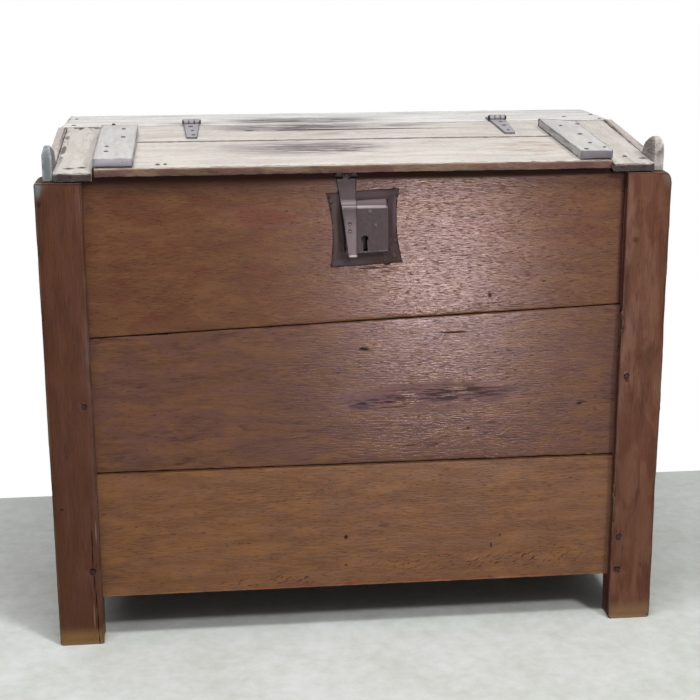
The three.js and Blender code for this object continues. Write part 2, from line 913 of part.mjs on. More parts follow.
const hasp = addGroup(haspPlace, haspAxisY, haspAxisHeight);
add("hasp_leaf", haspLeaf(), iron, hasp).rotation.x = lidPitch;
add(
  "hasp_pin",
  headedPin(haspHalf, haspPinRadius, haspPinHeadRadius, haspPinHeadLength),
  darkIron,
  hasp,
);
add("hasp", haspPlate(), iron, hasp);
add("hasp_staple", haspStaple(), darkIron, hasp);

// Box lock, a little turned on the plank. Its own frame has its origin on the back of the plate.

const lock = addGroup(lockPlace, frontPlankFace - seatGap, lockHeight);
lock.rotation.y = -lockTurn;

function lockPlate() {
  const w = lockPlateWidth / 2;
  const h = lockPlateHeight / 2;
  const shape = new THREE.Shape();
  shape.moveTo(-w, -h);
  shape.lineTo(w, -h);
  shape.quadraticCurveTo(w - 2 * lockPlateWaist, 0, w, h);
  shape.lineTo(-w, h);
  shape.quadraticCurveTo(-w + 2 * lockPlateWaist, 0, -w, -h);
  return alongY(shape, -lockPlateThickness, 0, curveSteps);
}

const caseLeft = caseOffset - caseWidth / 2;
const caseRight = caseOffset + caseWidth / 2;
const caseLow = caseRise - caseHeight / 2;
const caseHigh = caseRise + caseHeight / 2;
const caseBackY = -lockPlateThickness - seatGap;
const caseFaceY = caseBackY - caseDepth;
const caseInnerY = caseFaceY + caseWall;

// The staple's middle in the lock's own frame.
const staplePlace = new THREE.Vector3(
  haspPlace + stapleX - lockPlace,
  0,
  haspAxisHeight - stapleDrop - lockHeight,
).applyAxisAngle(new THREE.Vector3(0, 1, 0), lockTurn);

// The case's shape from the side, drawn in by a wall, with its back edge at y.
function caseProfile(wallInset, y) {
  return outline([
    [y, caseLow + wallInset],
    [caseFaceY + wallInset, caseLow + wallInset],
    [caseFaceY + wallInset, caseHigh - wallInset / 2],
    [y, caseHigh + caseSlopeHeight - wallInset],
  ]);
}

function keyhole() {
  const x = caseOffset + keyholePlace;
  const z = caseRise - keyholeDrop;
  const foot = z + keyholeRadius - keyholeLength;
  const slot = outline([
    [x - keyholeSlotWidth / 2, foot],
    [x + keyholeSlotWidth / 2, foot],
    [x + keyholeWaistWidth / 2, z],
    [x - keyholeWaistWidth / 2, z],
  ]);
  const y0 = caseFaceY - overrun;
  const y1 = caseInnerY + seatGap;
  return [rodY(x, z, keyholeRadius, y0, y1), alongY(slot, y0, y1)];
}

function lockCase() {
  const halfSlot = stapleRodRadius + slotPlay;
  const halfSlotHeight = stapleSpacing / 2 + halfSlot;
  return cut(
    alongX(caseProfile(0, caseBackY), caseLeft, caseRight),
    alongX(caseProfile(caseWall, caseBackY + overrun), caseLeft + caseWall, caseRight - caseWall),
    block(
      [staplePlace.x - halfSlot, caseFaceY - overrun, staplePlace.z - halfSlotHeight],
      [staplePlace.x + halfSlot, caseInnerY + seatGap, staplePlace.z + halfSlotHeight],
    ),
    ...keyhole(),
  );
}

const boltFront = caseInnerY + boltFacePlay;
const boltBack = boltFront + boltThickness;
const boltLeft = staplePlace.x + stapleRodRadius + boltTipPlay;
const boltRight = boltLeft + boltLength;
const boltLow = staplePlace.z - boltHeight / 2;
const boltHigh = staplePlace.z + boltHeight / 2;

function lockBolt() {
  const notch = caseOffset + keyholePlace + boltTravel;
  return cut(
    block([boltLeft, boltFront, boltLow], [boltRight, boltBack, boltHigh]),
    block(
      [notch - boltNotchWidth / 2, boltFront - overrun, boltLow - overrun],
      [notch + boltNotchWidth / 2, boltBack + overrun, boltLow + boltNotchDepth],
    ),
  );
}

// A keeper on the plate that the bolt slides in, open towards the face of the case.
function boltGuide(x) {
  return cut(
    block(
      [x, boltFront, boltLow - boltGuideWall],
      [x + boltGuideWidth, caseBackY, boltHigh + boltGuideWall],
    ),
    block(
      [x - overrun, boltFront - overrun, boltLow - boltGuidePlay],
      [x + boltGuideWidth + overrun, boltBack + boltGuidePlay, boltHigh + boltGuidePlay],
    ),
  );
}

// A bent leaf spring over the bolt: its right end lies on the right guide.
function boltSpring() {
  const x1 = boltRight - boltTravel;
  const x0 = x1 - springLength;
  const foot = boltHigh + boltGuideWall + seatGap;
  const crest = foot + springRise;
  const middle = (x0 + x1) / 2;
  const shape = new THREE.Shape();
  shape.moveTo(x0, crest);
  shape.quadraticCurveTo(middle, crest, x1, foot);
  shape.lineTo(x1, foot + springThickness);
  shape.quadraticCurveTo(middle, crest + springThickness, x0, crest + springThickness);
  return alongY(shape, boltFront, boltFront + springWidth, curveSteps);
}

const boltGuides = [
  { side: "left", x: boltLeft + boltGuideInset },
  { side: "right", x: boltRight - boltTravel - boltGuideWidth },
];

add("lock_plate", lockPlate(), iron, lock);
add("lock_case", lockCase(), iron, lock);
add("lock_bolt", lockBolt(), darkIron, lock);
for (const { side, x } of boltGuides) {
  add(`lock_${side}_guide`, boltGuide(x), darkIron, lock);
}
add("lock_spring", boltSpring(), springSteel, lock);

export default chest;
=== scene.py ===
"""Grain ark chest: worn oak timbers and forged ironwork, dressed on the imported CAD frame.

Places are metres in the frame's own axes: X to the right, Y to the back, Z up. All lengths in a
finish or a mark are millimetres. Any other small length is millimetres times MM.
"""

import json
import logging
import math
from dataclasses import dataclass, replace
from enum import Enum

import bmesh
import bpy
import numpy as np
from mathutils import Matrix, Vector, noise
from mathutils.bvhtree import BVHTree

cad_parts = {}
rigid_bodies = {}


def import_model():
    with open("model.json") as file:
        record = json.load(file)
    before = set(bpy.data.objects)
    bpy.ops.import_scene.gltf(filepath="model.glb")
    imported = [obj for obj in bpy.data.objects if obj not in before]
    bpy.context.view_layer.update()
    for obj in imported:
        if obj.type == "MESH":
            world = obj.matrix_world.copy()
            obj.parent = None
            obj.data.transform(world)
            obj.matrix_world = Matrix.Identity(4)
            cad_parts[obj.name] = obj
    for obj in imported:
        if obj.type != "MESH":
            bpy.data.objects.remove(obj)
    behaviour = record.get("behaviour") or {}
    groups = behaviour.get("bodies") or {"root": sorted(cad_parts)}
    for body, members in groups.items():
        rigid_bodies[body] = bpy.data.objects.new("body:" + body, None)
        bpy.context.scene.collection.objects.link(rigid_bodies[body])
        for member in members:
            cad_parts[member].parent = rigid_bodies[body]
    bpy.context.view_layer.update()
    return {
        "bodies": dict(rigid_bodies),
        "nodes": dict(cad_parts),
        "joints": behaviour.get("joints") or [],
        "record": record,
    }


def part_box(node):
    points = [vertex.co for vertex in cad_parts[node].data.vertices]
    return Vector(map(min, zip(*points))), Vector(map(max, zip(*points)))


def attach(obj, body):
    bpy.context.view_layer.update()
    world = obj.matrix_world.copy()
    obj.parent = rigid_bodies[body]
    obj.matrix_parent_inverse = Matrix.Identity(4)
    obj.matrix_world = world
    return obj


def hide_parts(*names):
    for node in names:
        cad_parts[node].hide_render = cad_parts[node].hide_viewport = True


log = logging.getLogger("grain_ark")

MM = 0.001

Colour = tuple[float, float, float, float]
Triple = tuple[float, float, float]
Pair = tuple[float, float]
Tree = bpy.types.NodeTree
Socket = bpy.types.NodeSocket
Material = bpy.types.Material
Piece = bpy.types.Object
Mesh = bmesh.types.BMesh
Arris = tuple[Vector, Vector]
Box = tuple[Vector, Vector]
Aim = tuple[str, Triple, Triple]

MARK_CORE = 0.35  # share of a mark's radii inside which it shows in full
STREAK_RIM = 0.06  # how far above a mark's streak level a streak is full
PORE_RIM = 0.08
PORE_MATT = 0.5  # how far a pore dulls the wax
# Roughness where a mark lies: stained wood is matt, and so are the painted shadows, which keeps them dark.
DIRT_AND_SHADE_ROUGHNESS = 0.85
CROWD_SIZE = (130, 48)  # clouds in which the fine lines of the grain crowd together
RAGGED_SIZE = (45, 9)  # gaps in the rubbed arrises

SHARP_EDGE = math.radians(25)
RIM_EDGE = 0.3  # radians between the faces at the rim of a nail head
FLAT = math.radians(0.6)
SHOULDER_CUTS = (0.15, 0.35, 0.6, 0.9)
SLOPE_CUTS = (-14, -7, -3, 3, 7, 14)  # millimetres from an arris that runs aslant to the grain
SWAY_WAVES = ((5, 0.5), (21, 0.4))  # waves to the metre and their share
SWAY_MEAN = 0.45
BITE_WAVES = ((95, 1.0), (210, 0.6))
FACE_WAVE = 14
NOISE_SEED = 7  # noise_vector takes its seed from the clock unless one is set


class Grain(Enum):
    """The axis that a timber's fibres run along."""

    ALONG_X = 0
    ALONG_Y = 1
    ALONG_Z = 2


class Face(Enum):
    """The kind of surface on a timber, which is also its material's place on the mesh."""

    SHOWN = 0
    INNER = 1
    END = 2
    FRONT = 3


def linear(colour: str) -> Colour:
    """Turns an sRGB hex colour to linear light.

    Args:
        colour: six hex digits after a hash.

    Returns:
        Red, green, blue and an alpha of one.
    """
    shares = [int(colour[i : i + 2], 16) / 255 for i in (1, 3, 5)]
    return (*(c / 12.92 if c <= 0.04045 else ((c + 0.055) / 1.055) ** 2.4 for c in shares), 1.0)


def add_node(tree: Tree, kind: str, inputs: dict | None = None, out: str | int = 0, **settings: object) -> Socket:
    """Adds one node with its settings and links.

    Args:
        tree: the tree that the node goes into.
        kind: the node's type, without its ShaderNode prefix.
        inputs: a value or an output socket for each input, by its name or number.
        out: the output that is wanted, by its name or number.
        **settings: the node's own properties.

    Returns:
        That output, or nothing from a node that has none.
    """
    node = tree.nodes.new("ShaderNode" + kind)
    for key, value in settings.items():
        setattr(node, key, value)
    for key, value in (inputs or {}).items():
        if isinstance(value, Socket):
            tree.links.new(value, node.inputs[key])
        else:
            node.inputs[key].default_value = value
    return node.outputs[out] if node.outputs else None


@dataclass(frozen=True)
class Mark:
    """A knot, hole or stain, or a painted shadow or highlight, at one place of a piece.

    The mark is an ellipsoid about its centre. Streaks along the grain, or at a tilt to it, can
    break it up: the higher the streak level, the fewer they are.
    """

    centre: Triple
    radii: Triple
    colour: str
    strength: float = 0.8
    streak: float = 0.0
    streak_size: Pair = (55, 4.2)
    tilt: float = 0.0

    def within(self, tree: Tree, place: Socket) -> Socket:
        """How strongly the mark shows at a place, before any streaks break it up.

        Args:
            tree: the material's tree.
            place: the place in the piece.

        Returns:
            A factor that falls from the mark's strength in its core to nothing at its radii.
        """
        centre = tuple(c * MM for c in self.centre)
        share = tuple(1 / (r * MM) for r in self.radii)
        away = add_node(tree, "VectorMath", {0: place, 1: centre}, operation="SUBTRACT")
        away = add_node(tree, "VectorMath", {0: away, 1: share}, operation="MULTIPLY")
        length = add_node(tree, "VectorMath", {0: away}, "Value", operation="LENGTH")
        fade = {0: length, 1: 1.0, 2: MARK_CORE, 3: 0.0, 4: self.strength}
        return add_node(tree, "MapRange", fade, interpolation_type="SMOOTHSTEP")


@dataclass(frozen=True)
class Finish:
    """A surface that is drawn in a piece's own space."""

    name: str

    def material(self) -> Material:
        """Builds the finish.

        Returns:
            A material with the finish's name and look.
        """
        material = bpy.data.materials.new(self.name)
        material.use_nodes = True
        tree = material.node_tree
        tree.nodes.clear()
        own = add_node(tree, "TexCoord", out="Object")
        add_node(tree, "OutputMaterial", {"Surface": add_node(tree, "BsdfPrincipled", self.look(tree, own))})
        return material

    def look(self, tree: Tree, own: Socket) -> dict:
        """Works out the shader's inputs.

        Args:
            tree: the material's tree.
            own: the place in the piece.

        Returns:
            A value or an output socket for each input, by its name.
        """
        raise NotImplementedError

    def lay(self, tree: Tree, under: Socket | Colour, colour: str, *factors: Socket | float) -> Socket:
        """Lays a colour over another where all of some factors are high.

        Args:
            tree: the material's tree.
            under: the lower colour.
            colour: the upper colour.
            *factors: the factors, each from zero to one.

        Returns:
            The colour of the two.
        """
        share = factors[0]
        for factor in factors[1:]:
            share = add_node(tree, "Math", {0: share, 1: factor}, operation="MULTIPLY", use_clamp=True)
        return add_node(tree, "Mix", {0: share, 6: under, 7: linear(colour)}, 2, data_type="RGBA")


@dataclass(frozen=True)
class Oak(Finish):
    """Sawn oak, a ring-porous wood: pores show as short dashes along the grain that catch the
    light on one side, over patches of redder, browner and darker wood. Drawn a little coarser
    than life, because a real pore of 0.3 mm is far below a pixel.
    """

    grain: Grain
    light: str
    dark: str
    pore: str
    arris: str
    seed: float
    blush: str = ""
    blush_size: Pair = (85, 34)
    stain: str = "#4a2a22"
    stain_cover: float = 0.0
    stain_size: Pair = (90, 16)
    tone_size: Pair = (110, 21)
    tone_strength: float = 0.6
    line_size: Pair = (22, 2.1)
    line_strength: float = 0.16
    pore_size: Pair = (16, 1.8)
    pore_strength: float = 0.6
    pore_cover: float = 0.61
    roughness: Pair = (0.36, 0.5)
    gloss: float = 0.1
    relief: float = 0.11
    arris_reach: float = 7
    arris_strength: float = 0.6
    marks: tuple[Mark, ...] = ()

    def stretch(self, size: Pair) -> Triple:
        """Scale of a pattern from its length along the grain and its width across it."""
        scale = [1 / (size[1] * MM)] * 3
        scale[self.grain.value] = 1 / (size[0] * MM)
        return tuple(scale)

    def patches(
        self, tree: Tree, place: Socket, size: Pair, span: Pair, to: Pair = (0.0, 1.0), **noisy: float
    ) -> Socket:
        """Patches of noise drawn out along the grain.

        Args:
            tree: the material's tree.
            place: the place in the timber.
            size: length along the grain and width across it.
            span: the noise where a patch begins and where it is full.
            to: the factors that this gives.
            **noisy: other inputs of the noise, by name.

        Returns:
            The factor.
        """
        drawn = add_node(tree, "Mapping", {"Vector": place, "Scale": self.stretch(size)})
        level = add_node(tree, "TexNoise", {"Vector": drawn, "Scale": 1.0, "Detail": 3.0, **noisy})
        steps = dict(enumerate((level, *span, *to)))
        return add_node(tree, "MapRange", steps, interpolation_type="SMOOTHSTEP")

    def broken(self, tree: Tree, place: Socket, mark: Mark) -> Socket:
        """How strongly a mark shows at a place, with its streaks.

        Args:
            tree: the material's tree.
            place: the place in the timber.
            mark: the mark.

        Returns:
            The factor.
        """
        inside = mark.within(tree, place)
        if not mark.streak:
            return inside
        turn = (0.0, math.radians(mark.tilt), 0.0)
        turned = add_node(tree, "Mapping", {"Vector": place, "Rotation": turn})
        span = (mark.streak, mark.streak + STREAK_RIM)
        streaks = self.patches(tree, turned, mark.streak_size, span, Distortion=1.2 if mark.tilt else 0.0)
        return add_node(tree, "Math", {0: inside, 1: streaks}, operation="MULTIPLY", use_clamp=True)

    def look(self, tree: Tree, own: Socket) -> dict:
        """Colour, roughness and relief from the grain."""
        shift = (self.seed, self.seed * 0.7, self.seed * 1.3)
        place = add_node(tree, "Mapping", {"Vector": own, "Location": shift})
        tone = self.patches(tree, place, self.tone_size, (0.36, 0.64), Distortion=0.3)
        crowd = self.patches(tree, own, CROWD_SIZE, (0.36, 0.62), (0.15, 1.0))
        ridges = self.patches(tree, place, self.line_size, (0.36, 0.66), Detail=1.5, Distortion=0.25)
        pores = self.patches(tree, place, self.pore_size, (self.pore_cover, self.pore_cover + PORE_RIM), Detail=1.5)
        ragged = self.patches(tree, place, RAGGED_SIZE, (0.35, 0.65), (0.2, 1.0))
        lines, matt = (
            add_node(tree, "Math", {0: a, 1: b}, operation="MULTIPLY", use_clamp=True)
            for a, b in ((ridges, crowd), (pores, PORE_MATT))
        )
        near = add_node(tree, "Attribute", out="Fac", attribute_name="arris")
        shade, soaked, edge_wear_and_light, shine = (
            add_node(tree, "MapRange", dict(enumerate(step)), interpolation_type="SMOOTHSTEP")
            for step in (
                (lines, 0.0, 1.0, 1 + 0.5 * self.line_strength, 1 - self.line_strength),
                (lines, 0.0, 0.6, 0.35, 0.9),
                (near, self.arris_reach * MM, 0.0, 0.0, 1.0),
                (tone, 0.0, 1.0, *self.roughness),
            )
        )
        colour = linear(self.light)
        if self.blush:
            flush = self.patches(tree, own, self.blush_size, (0.42, 0.58), Distortion=0.8)
            colour = self.lay(tree, colour, self.blush, flush)
        colour = self.lay(tree, colour, self.dark, tone, self.tone_strength)
        ruled = {0: 1.0, 6: colour, 7: shade}
        colour = add_node(tree, "Mix", ruled, 2, data_type="RGBA", blend_type="MULTIPLY")
        if self.stain_cover:
            span = (0.62 - self.stain_cover, 0.82 - self.stain_cover)
            cloud = self.patches(tree, place, self.stain_size, span, Detail=5.0, Distortion=0.8)
            colour = self.lay(tree, colour, self.stain, cloud, soaked)
        # The marks hold knots, holes and stains, and painted shadows too; each dulls the wax where it lies.
        for mark in self.marks:
            dirt_and_shade = self.broken(tree, own, mark)
            colour = self.lay(tree, colour, mark.colour, dirt_and_shade)
            matt = add_node(tree, "Math", {0: matt, 1: dirt_and_shade}, operation="MAXIMUM", use_clamp=True)
        colour = self.lay(tree, colour, self.pore, pores, self.pore_strength)
        colour = self.lay(tree, colour, self.arris, edge_wear_and_light, ragged, self.arris_strength)
        shine = add_node(tree, "Mix", {0: matt, 2: shine, 3: DIRT_AND_SHADE_ROUGHNESS})
        height = add_node(tree, "Math", {0: pores, 1: 0.5, 2: ridges}, operation="MULTIPLY_ADD")
        relief = {"Height": height, "Strength": 1.0, "Distance": self.relief * MM}
        bump = add_node(tree, "Bump", relief, invert=True)
        return {"Base Color": colour, "Roughness": shine, "Specular IOR Level": self.gloss, "Normal": bump}


@dataclass(frozen=True)
class EndGrain(Oak):
    """Oak cut across: the pores are holes, so the face drinks dirt and goes dark grey-violet."""

    def stretch(self, size: Pair) -> Triple:
        """End grain has no length, so its pattern is the same size every way."""
        return (2 / ((size[0] + size[1]) * MM),) * 3


@dataclass(frozen=True)
class Iron(Finish):
    """Forged wrought iron: hammered flat, so it is faintly dimpled, with brown rust in the
    hollows. Its edges take their own colour: worn bare metal, and painted light as well.
    """

    body: str
    rust: str
    # Edge colour: worn metal, lighter as a painted highlight on the hasp and case, darker as painted shade on the
    # straps.
    edge_wear_and_light: str
    roughness: Pair = (0.45, 0.6)
    metallic: float = 0.05
    gloss: float = 0.08
    dimple: float = 0.35
    dimple_size: float = 9
    rust_size: float = 22
    rust_cover: float = 0.1
    edge_reach: float = 2.2
    seed: float = 0.0
    marks: tuple[Mark, ...] = ()

    def look(self, tree: Tree, own: Socket) -> dict:
        """Dull metal with dimples, rust in patches, edges coloured as worn metal and painted light, and marks."""
        place = add_node(tree, "Mapping", {"Vector": own, "Location": (self.seed,) * 3})
        hammer, scale = (
            add_node(tree, "TexNoise", {"Vector": place, "Scale": 1 / (size * MM), "Detail": fine, "Roughness": rough})
            for size, fine, rough in ((self.dimple_size, 3.0, 0.6), (self.rust_size, 5.0, 0.7))
        )
        near = add_node(tree, "Attribute", out="Fac", attribute_name="arris")
        rust, edge = (
            add_node(tree, "MapRange", dict(enumerate(step)), interpolation_type="SMOOTHSTEP")
            for step in (
                (scale, 0.66 - self.rust_cover, 0.8 - self.rust_cover),
                (near, self.edge_reach * MM, 0.0, 0.0, 0.7),
            )
        )
        colour = self.lay(tree, linear(self.body), self.rust, rust)
        colour = self.lay(tree, colour, self.edge_wear_and_light, edge)
        for mark in self.marks:
            colour = self.lay(tree, colour, mark.colour, mark.within(tree, own))
        shine = add_node(tree, "MapRange", dict(enumerate((hammer, 0.3, 0.7, *self.roughness))))
        bump = add_node(tree, "Bump", {"Height": hammer, "Strength": 0.8, "Distance": self.dimple * MM})
        return {
            "Base Color": colour,
            "Roughness": shine,
            "Metallic": self.metallic,
            "Specular IOR Level": self.gloss,
            "Normal": bump,
        }


@dataclass(frozen=True)
class Concrete(Finish):
    """Trowelled concrete floor: pale grey-green, matt, with faint clouds."""

    name: str = "trowelled_concrete"
    pale: str = "#d5d8d7"
    damp: str = "#c2c5be"
    cloud_size: float = 260
    speck_size: float = 34
    roughness: float = 0.75

    def look(self, tree: Tree, own: Socket) -> dict:
        """Pale and damp patches, with specks in them."""
        cloud, speck = (
            add_node(tree, "TexNoise", {"Vector": own, "Scale": 1 / (size * MM), "Detail": fine, "Roughness": rough})
            for size, fine, rough in ((self.cloud_size, 6.0, 0.6), (self.speck_size, 5.0, 0.65))
        )
        both = add_node(tree, "Math", {0: cloud, 1: speck}, operation="ADD")
        share = add_node(tree, "MapRange", {0: both, 1: 0.78, 2: 1.22})
        return {"Base Color": self.lay(tree, linear(self.pale), self.damp, share), "Roughness": self.roughness}


@dataclass(frozen=True)
class Wear:
    """How age has shaped a timber or an iron.

    Attributes:
        bevel: width of the rounding on each arris.
        sway: slow wander of the arris, inwards.
        nibble: depth of the small bites out of the arris.
        face: unevenness of the faces.
        reach: how far in from the arris the wear goes.
        shoulder: radius of the rounding of the outer end at the top, as seen from the front.
        hollow: how far the top edge is worn down, from a little left of the middle to the right.
        shaded_below: whether only the upper arrises take the arris colour, so that the lower ones, left without it,
            show as painted shade.
        step: spacing of the cuts along the grain.
        across: widest spacing of the cuts across it.
    """

    bevel: float = 2.5 * MM
    sway: float = 1.0 * MM
    nibble: float = 1.0 * MM
    face: float = 0.4 * MM
    reach: float = 12 * MM
    shoulder: float = 0.0
    hollow: float = 0.0
    shaded_below: bool = False
    step: float = 10 * MM
    across: float = 28 * MM


def cut_places(low: float, high: float, fine: float, coarse: float) -> list[float]:
    """Places of cuts across a timber, close together near both of its arrises.

    Args:
        low: the lower arris.
        high: the upper arris.
        fine: the first spacing from an arris.
        coarse: the widest spacing.

    Returns:
        The places, in order.
    """
    middle = (low + high) / 2
    places, here, gap = [], low, fine
    while here + gap < middle:
        here += gap
        places.append(here)
        gap = min(gap * 1.6, coarse)
    return places + [low + high - place for place in reversed(places)]


def arris_distance(points: np.ndarray, arrises: list[Arris]) -> np.ndarray:
    """Distance of each point from the nearest of some straight arrises.

    Args:
        points: one row for each point.
        arrises: the two ends of each arris.

    Returns:
        The distances.
    """
    nearest = np.full(len(points), 1.0)
    for start, end in arrises:
        origin, line = np.array(start), np.array(end - start)
        share = np.clip((points - origin) @ line / max(line @ line, 1e-12), 0, 1)
        nearest = np.minimum(nearest, np.linalg.norm(points - origin - share[:, None] * line, axis=1))
    return nearest


@dataclass
class Workshop:
    """Makes worn pieces from the frame's solids and keeps their surfaces for the nails."""

    frame: dict

    def __post_init__(self) -> None:
        """Starts with no pieces made."""
        self.made: dict[str, Piece] = {}
        self.bodies = {n: b for b, names in self.frame["record"]["behaviour"]["bodies"].items() for n in names}

    def solid(self, node: str) -> Mesh:
        """A merged copy of a CAD node, with its flat faces whole."""
        bm = bmesh.new()
        bm.from_mesh(self.frame["nodes"][node].data)
        bmesh.ops.remove_doubles(bm, verts=bm.verts, dist=0.02 * MM)
        bmesh.ops.dissolve_limit(bm, angle_limit=FLAT, use_dissolve_boundaries=False, verts=bm.verts, edges=bm.edges)
        return bm

    def worn(self, node: str, wear: Wear, grain: Grain, slot: str, seed: float = 0.0) -> Piece:
        """A worn piece in the place of a CAD node.

        Args:
            node: the CAD node that it replaces.
            wear: how worn it is.
            grain: the axis with the regular cuts.
            slot: the material slot of the record.
            seed: shifts the pattern of the wear.

        Returns:
            The piece, riding on the node's body.
        """
        bm = self.solid(node)
        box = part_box(node)
        sharp = [e for e in bm.edges if e.is_manifold and e.calc_face_angle(0) > SHARP_EDGE]
        arrises = [(e.verts[0].co.copy(), e.verts[1].co.copy()) for e in sharp]
        rounding = {"affect": "EDGES", "segments": 2, "profile": 0.5, "material": -1, "clamp_overlap": True}
        bmesh.ops.bevel(bm, geom=sharp, offset=wear.bevel, offset_type="OFFSET", **rounding)
        self.slice(bm, box, wear, grain, arrises)
        bm.normal_update()
        points = np.array([v.co for v in bm.verts])
        near = arris_distance(points, arrises)
        self.erode(bm, box, wear, near, Vector((seed, seed * 2.1, -seed)))
        for face in bm.faces:
            face.smooth = True
        bm.normal_update()
        # Only the upper arrises take the arris colour; the lower ones stay dark as painted shade.
        if wear.shaded_below:
            top = max(bm.faces, key=lambda f: f.normal.z * f.calc_area())
            level = top.calc_center_median()
            upper = [(a, b) for a, b in arrises if abs(((a + b) / 2 - level).dot(top.normal)) < 6 * MM]
            near = arris_distance(points, upper)
        piece = self.place(f"worn_{node}", bm, self.bodies[node], slot)
        piece.data.attributes.new("arris", "FLOAT", "POINT").data.foreach_set("value", near.astype(np.float32))
        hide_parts(node)
        return piece

    def slice(self, bm: Mesh, box: Box, wear: Wear, grain: Grain, arrises: list[Arris]) -> None:
        """Cuts a mesh up, finely where it wears most, so that its wear can bend there.

        Args:
            bm: the mesh.
            box: the two corners of its box.
            wear: how worn it is to be.
            grain: the axis with the regular cuts.
            arrises: its arrises.
        """
        low, high = box
        for axis in range(3):
            if axis == grain.value:
                count = max(1, round((high[axis] - low[axis]) / wear.step))
                places = [low[axis] + (high[axis] - low[axis]) * i / count for i in range(1, count)]
            else:
                places = cut_places(low[axis], high[axis], max(wear.bevel, 3 * MM) * 1.3, wear.across)
            normal = [0.0, 0.0, 0.0]
            normal[axis] = 1.0
            for place in places:
                self.cut(bm, [place if i == axis else 0.0 for i in range(3)], normal)
        for share in SHOULDER_CUTS if wear.shoulder else ():
            self.cut(bm, (0.0, 0.0, high.z - wear.shoulder * share), (0.0, 0.0, 1.0))
        for start, end in arrises:
            line = (end - start).normalized()
            if (end - start).length > 100 * MM and 0.9 < abs(line[grain.value]) < 0.99995:
                normal = line.cross(Vector((0.0, 1.0, 0.0) if abs(line.y) < 0.01 else (0.0, 0.0, 1.0)))
                for offset in SLOPE_CUTS:
                    self.cut(bm, start + normal * offset * MM, normal)

    def cut(self, bm: Mesh, point: Triple, normal: Triple) -> None:
        """Cuts a mesh through at a plane."""
        bmesh.ops.bisect_plane(
            bm, geom=bm.verts[:] + bm.edges[:] + bm.faces[:], dist=0.01 * MM, plane_co=point, plane_no=normal
        )

    def erode(self, bm: Mesh, box: Box, wear: Wear, near: np.ndarray, shift: Vector) -> None:
        """Moves a mesh's points inwards where use and weather have taken wood or iron away.

        Args:
            bm: the mesh.
            box: the two corners of its box.
            wear: how worn it is to be.
            near: each point's distance from the nearest arris.
            shift: moves the pattern of the wear.
        """
        low, high = box
        side = math.copysign(1.0, low.x + high.x)
        centre = Vector((side * (max(abs(low.x), abs(high.x)) - wear.shoulder), 0.0, high.z - wear.shoulder))
        for vertex, distance in zip(bm.verts, near):
            place = vertex.co + shift
            slow = sum(noise.noise(place * waves) * part for waves, part in SWAY_WAVES) + SWAY_MEAN
            quick = sum(max(0.0, noise.noise(place * waves)) * part for waves, part in BITE_WAVES)
            share = max(0.0, 1 - distance / wear.reach)
            depth = share * share * (wear.sway * max(0.0, slow) + wear.nibble * quick)
            uneven = max(0.0, noise.noise(place * FACE_WAVE + shift) * 0.5 + 0.5)
            depth += wear.face * uneven * min(1.0, distance / wear.reach)
            ground = vertex.co.z
            vertex.co -= vertex.normal * depth
            if ground < 0.2 * MM:
                vertex.co.z = ground
            if wear.hollow:
                reach = min(1.0, max(0.0, (vertex.co.x + 0.12) / 0.2))
                vertex.co.z -= wear.hollow * reach * max(0.0, 1 - (high.z - ground) / (25 * MM))
            off = Vector((vertex.co.x - centre.x, 0.0, vertex.co.z - centre.z))
            if wear.shoulder and off.x * side > 0 and off.z > 0 and off.length > wear.shoulder:
                vertex.co -= off * (1 - wear.shoulder / off.length)

    def place(self, name: str, bm: Mesh, body: str, slot: str) -> Piece:
        """Puts a finished mesh in the scene.

        Args:
            name: the piece's name.
            bm: its mesh, which is freed.
            body: the body that it rides on.
            slot: its material slot in the record, which is not used.

        Returns:
            The piece.
        """
        mesh = bpy.data.meshes.new(name)
        bm.to_mesh(mesh)
        bm.free()
        piece = put(name, mesh)
        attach(piece, body)
        self.made[name] = piece
        log.info("%s: %d faces", name, len(mesh.polygons))
        return piece

    def surface(self, node: str, origin: Triple, direction: Triple) -> tuple[Vector | None, Vector | None]:
        """Where a line meets the piece of a node, and the way the surface faces there."""
        mesh = self.made[f"worn_{node}"].data
        tree = BVHTree.FromPolygons([v.co for v in mesh.vertices], [tuple(p.vertices) for p in mesh.polygons])
        point, normal, _, _ = tree.ray_cast(Vector(origin), Vector(direction))
        return point, normal


def put(name: str, data: bpy.types.ID) -> Piece:
    """Puts a mesh, a lamp or a camera in the scene."""
    piece = bpy.data.objects.new(name, data)
    bpy.context.scene.collection.objects.link(piece)
    return piece


def dress(piece: Piece, *materials: Material) -> None:
    """Puts materials on a piece, in order, in place of any that it came with."""
    kinds = [polygon.material_index for polygon in piece.data.polygons]
    piece.data.materials.clear()
    for material in materials:
        piece.data.materials.append(material)
    piece.data.polygons.foreach_set("material_index", kinds)


def sort_faces(piece: Piece, inward: Triple | None, grain: Grain, edge: float | None = None) -> None:
    """Gives each face of a timber its kind.

    Args:
        piece: the timber.
        inward: the way that the unseen side faces, or None where all sides show.
        grain: the axis of its fibres, whose ends are end grain.
        edge: where its front edge ends, if that is a kind of its own.
    """
    for polygon in piece.data.polygons:
        kind = Face.SHOWN
        if abs(polygon.normal[grain.value]) > 0.75:
            kind = Face.END
        # Faces under the lid's front edge take the edge's darker finish, as painted shade.
        elif edge and polygon.normal.z < 0.6 and (polygon.normal.y < -0.2 or polygon.center.y < edge):
            kind = Face.FRONT
        elif inward and polygon.normal.dot(Vector(inward)) > 0.95:
            kind = Face.INNER
        polygon.material_index = kind.value


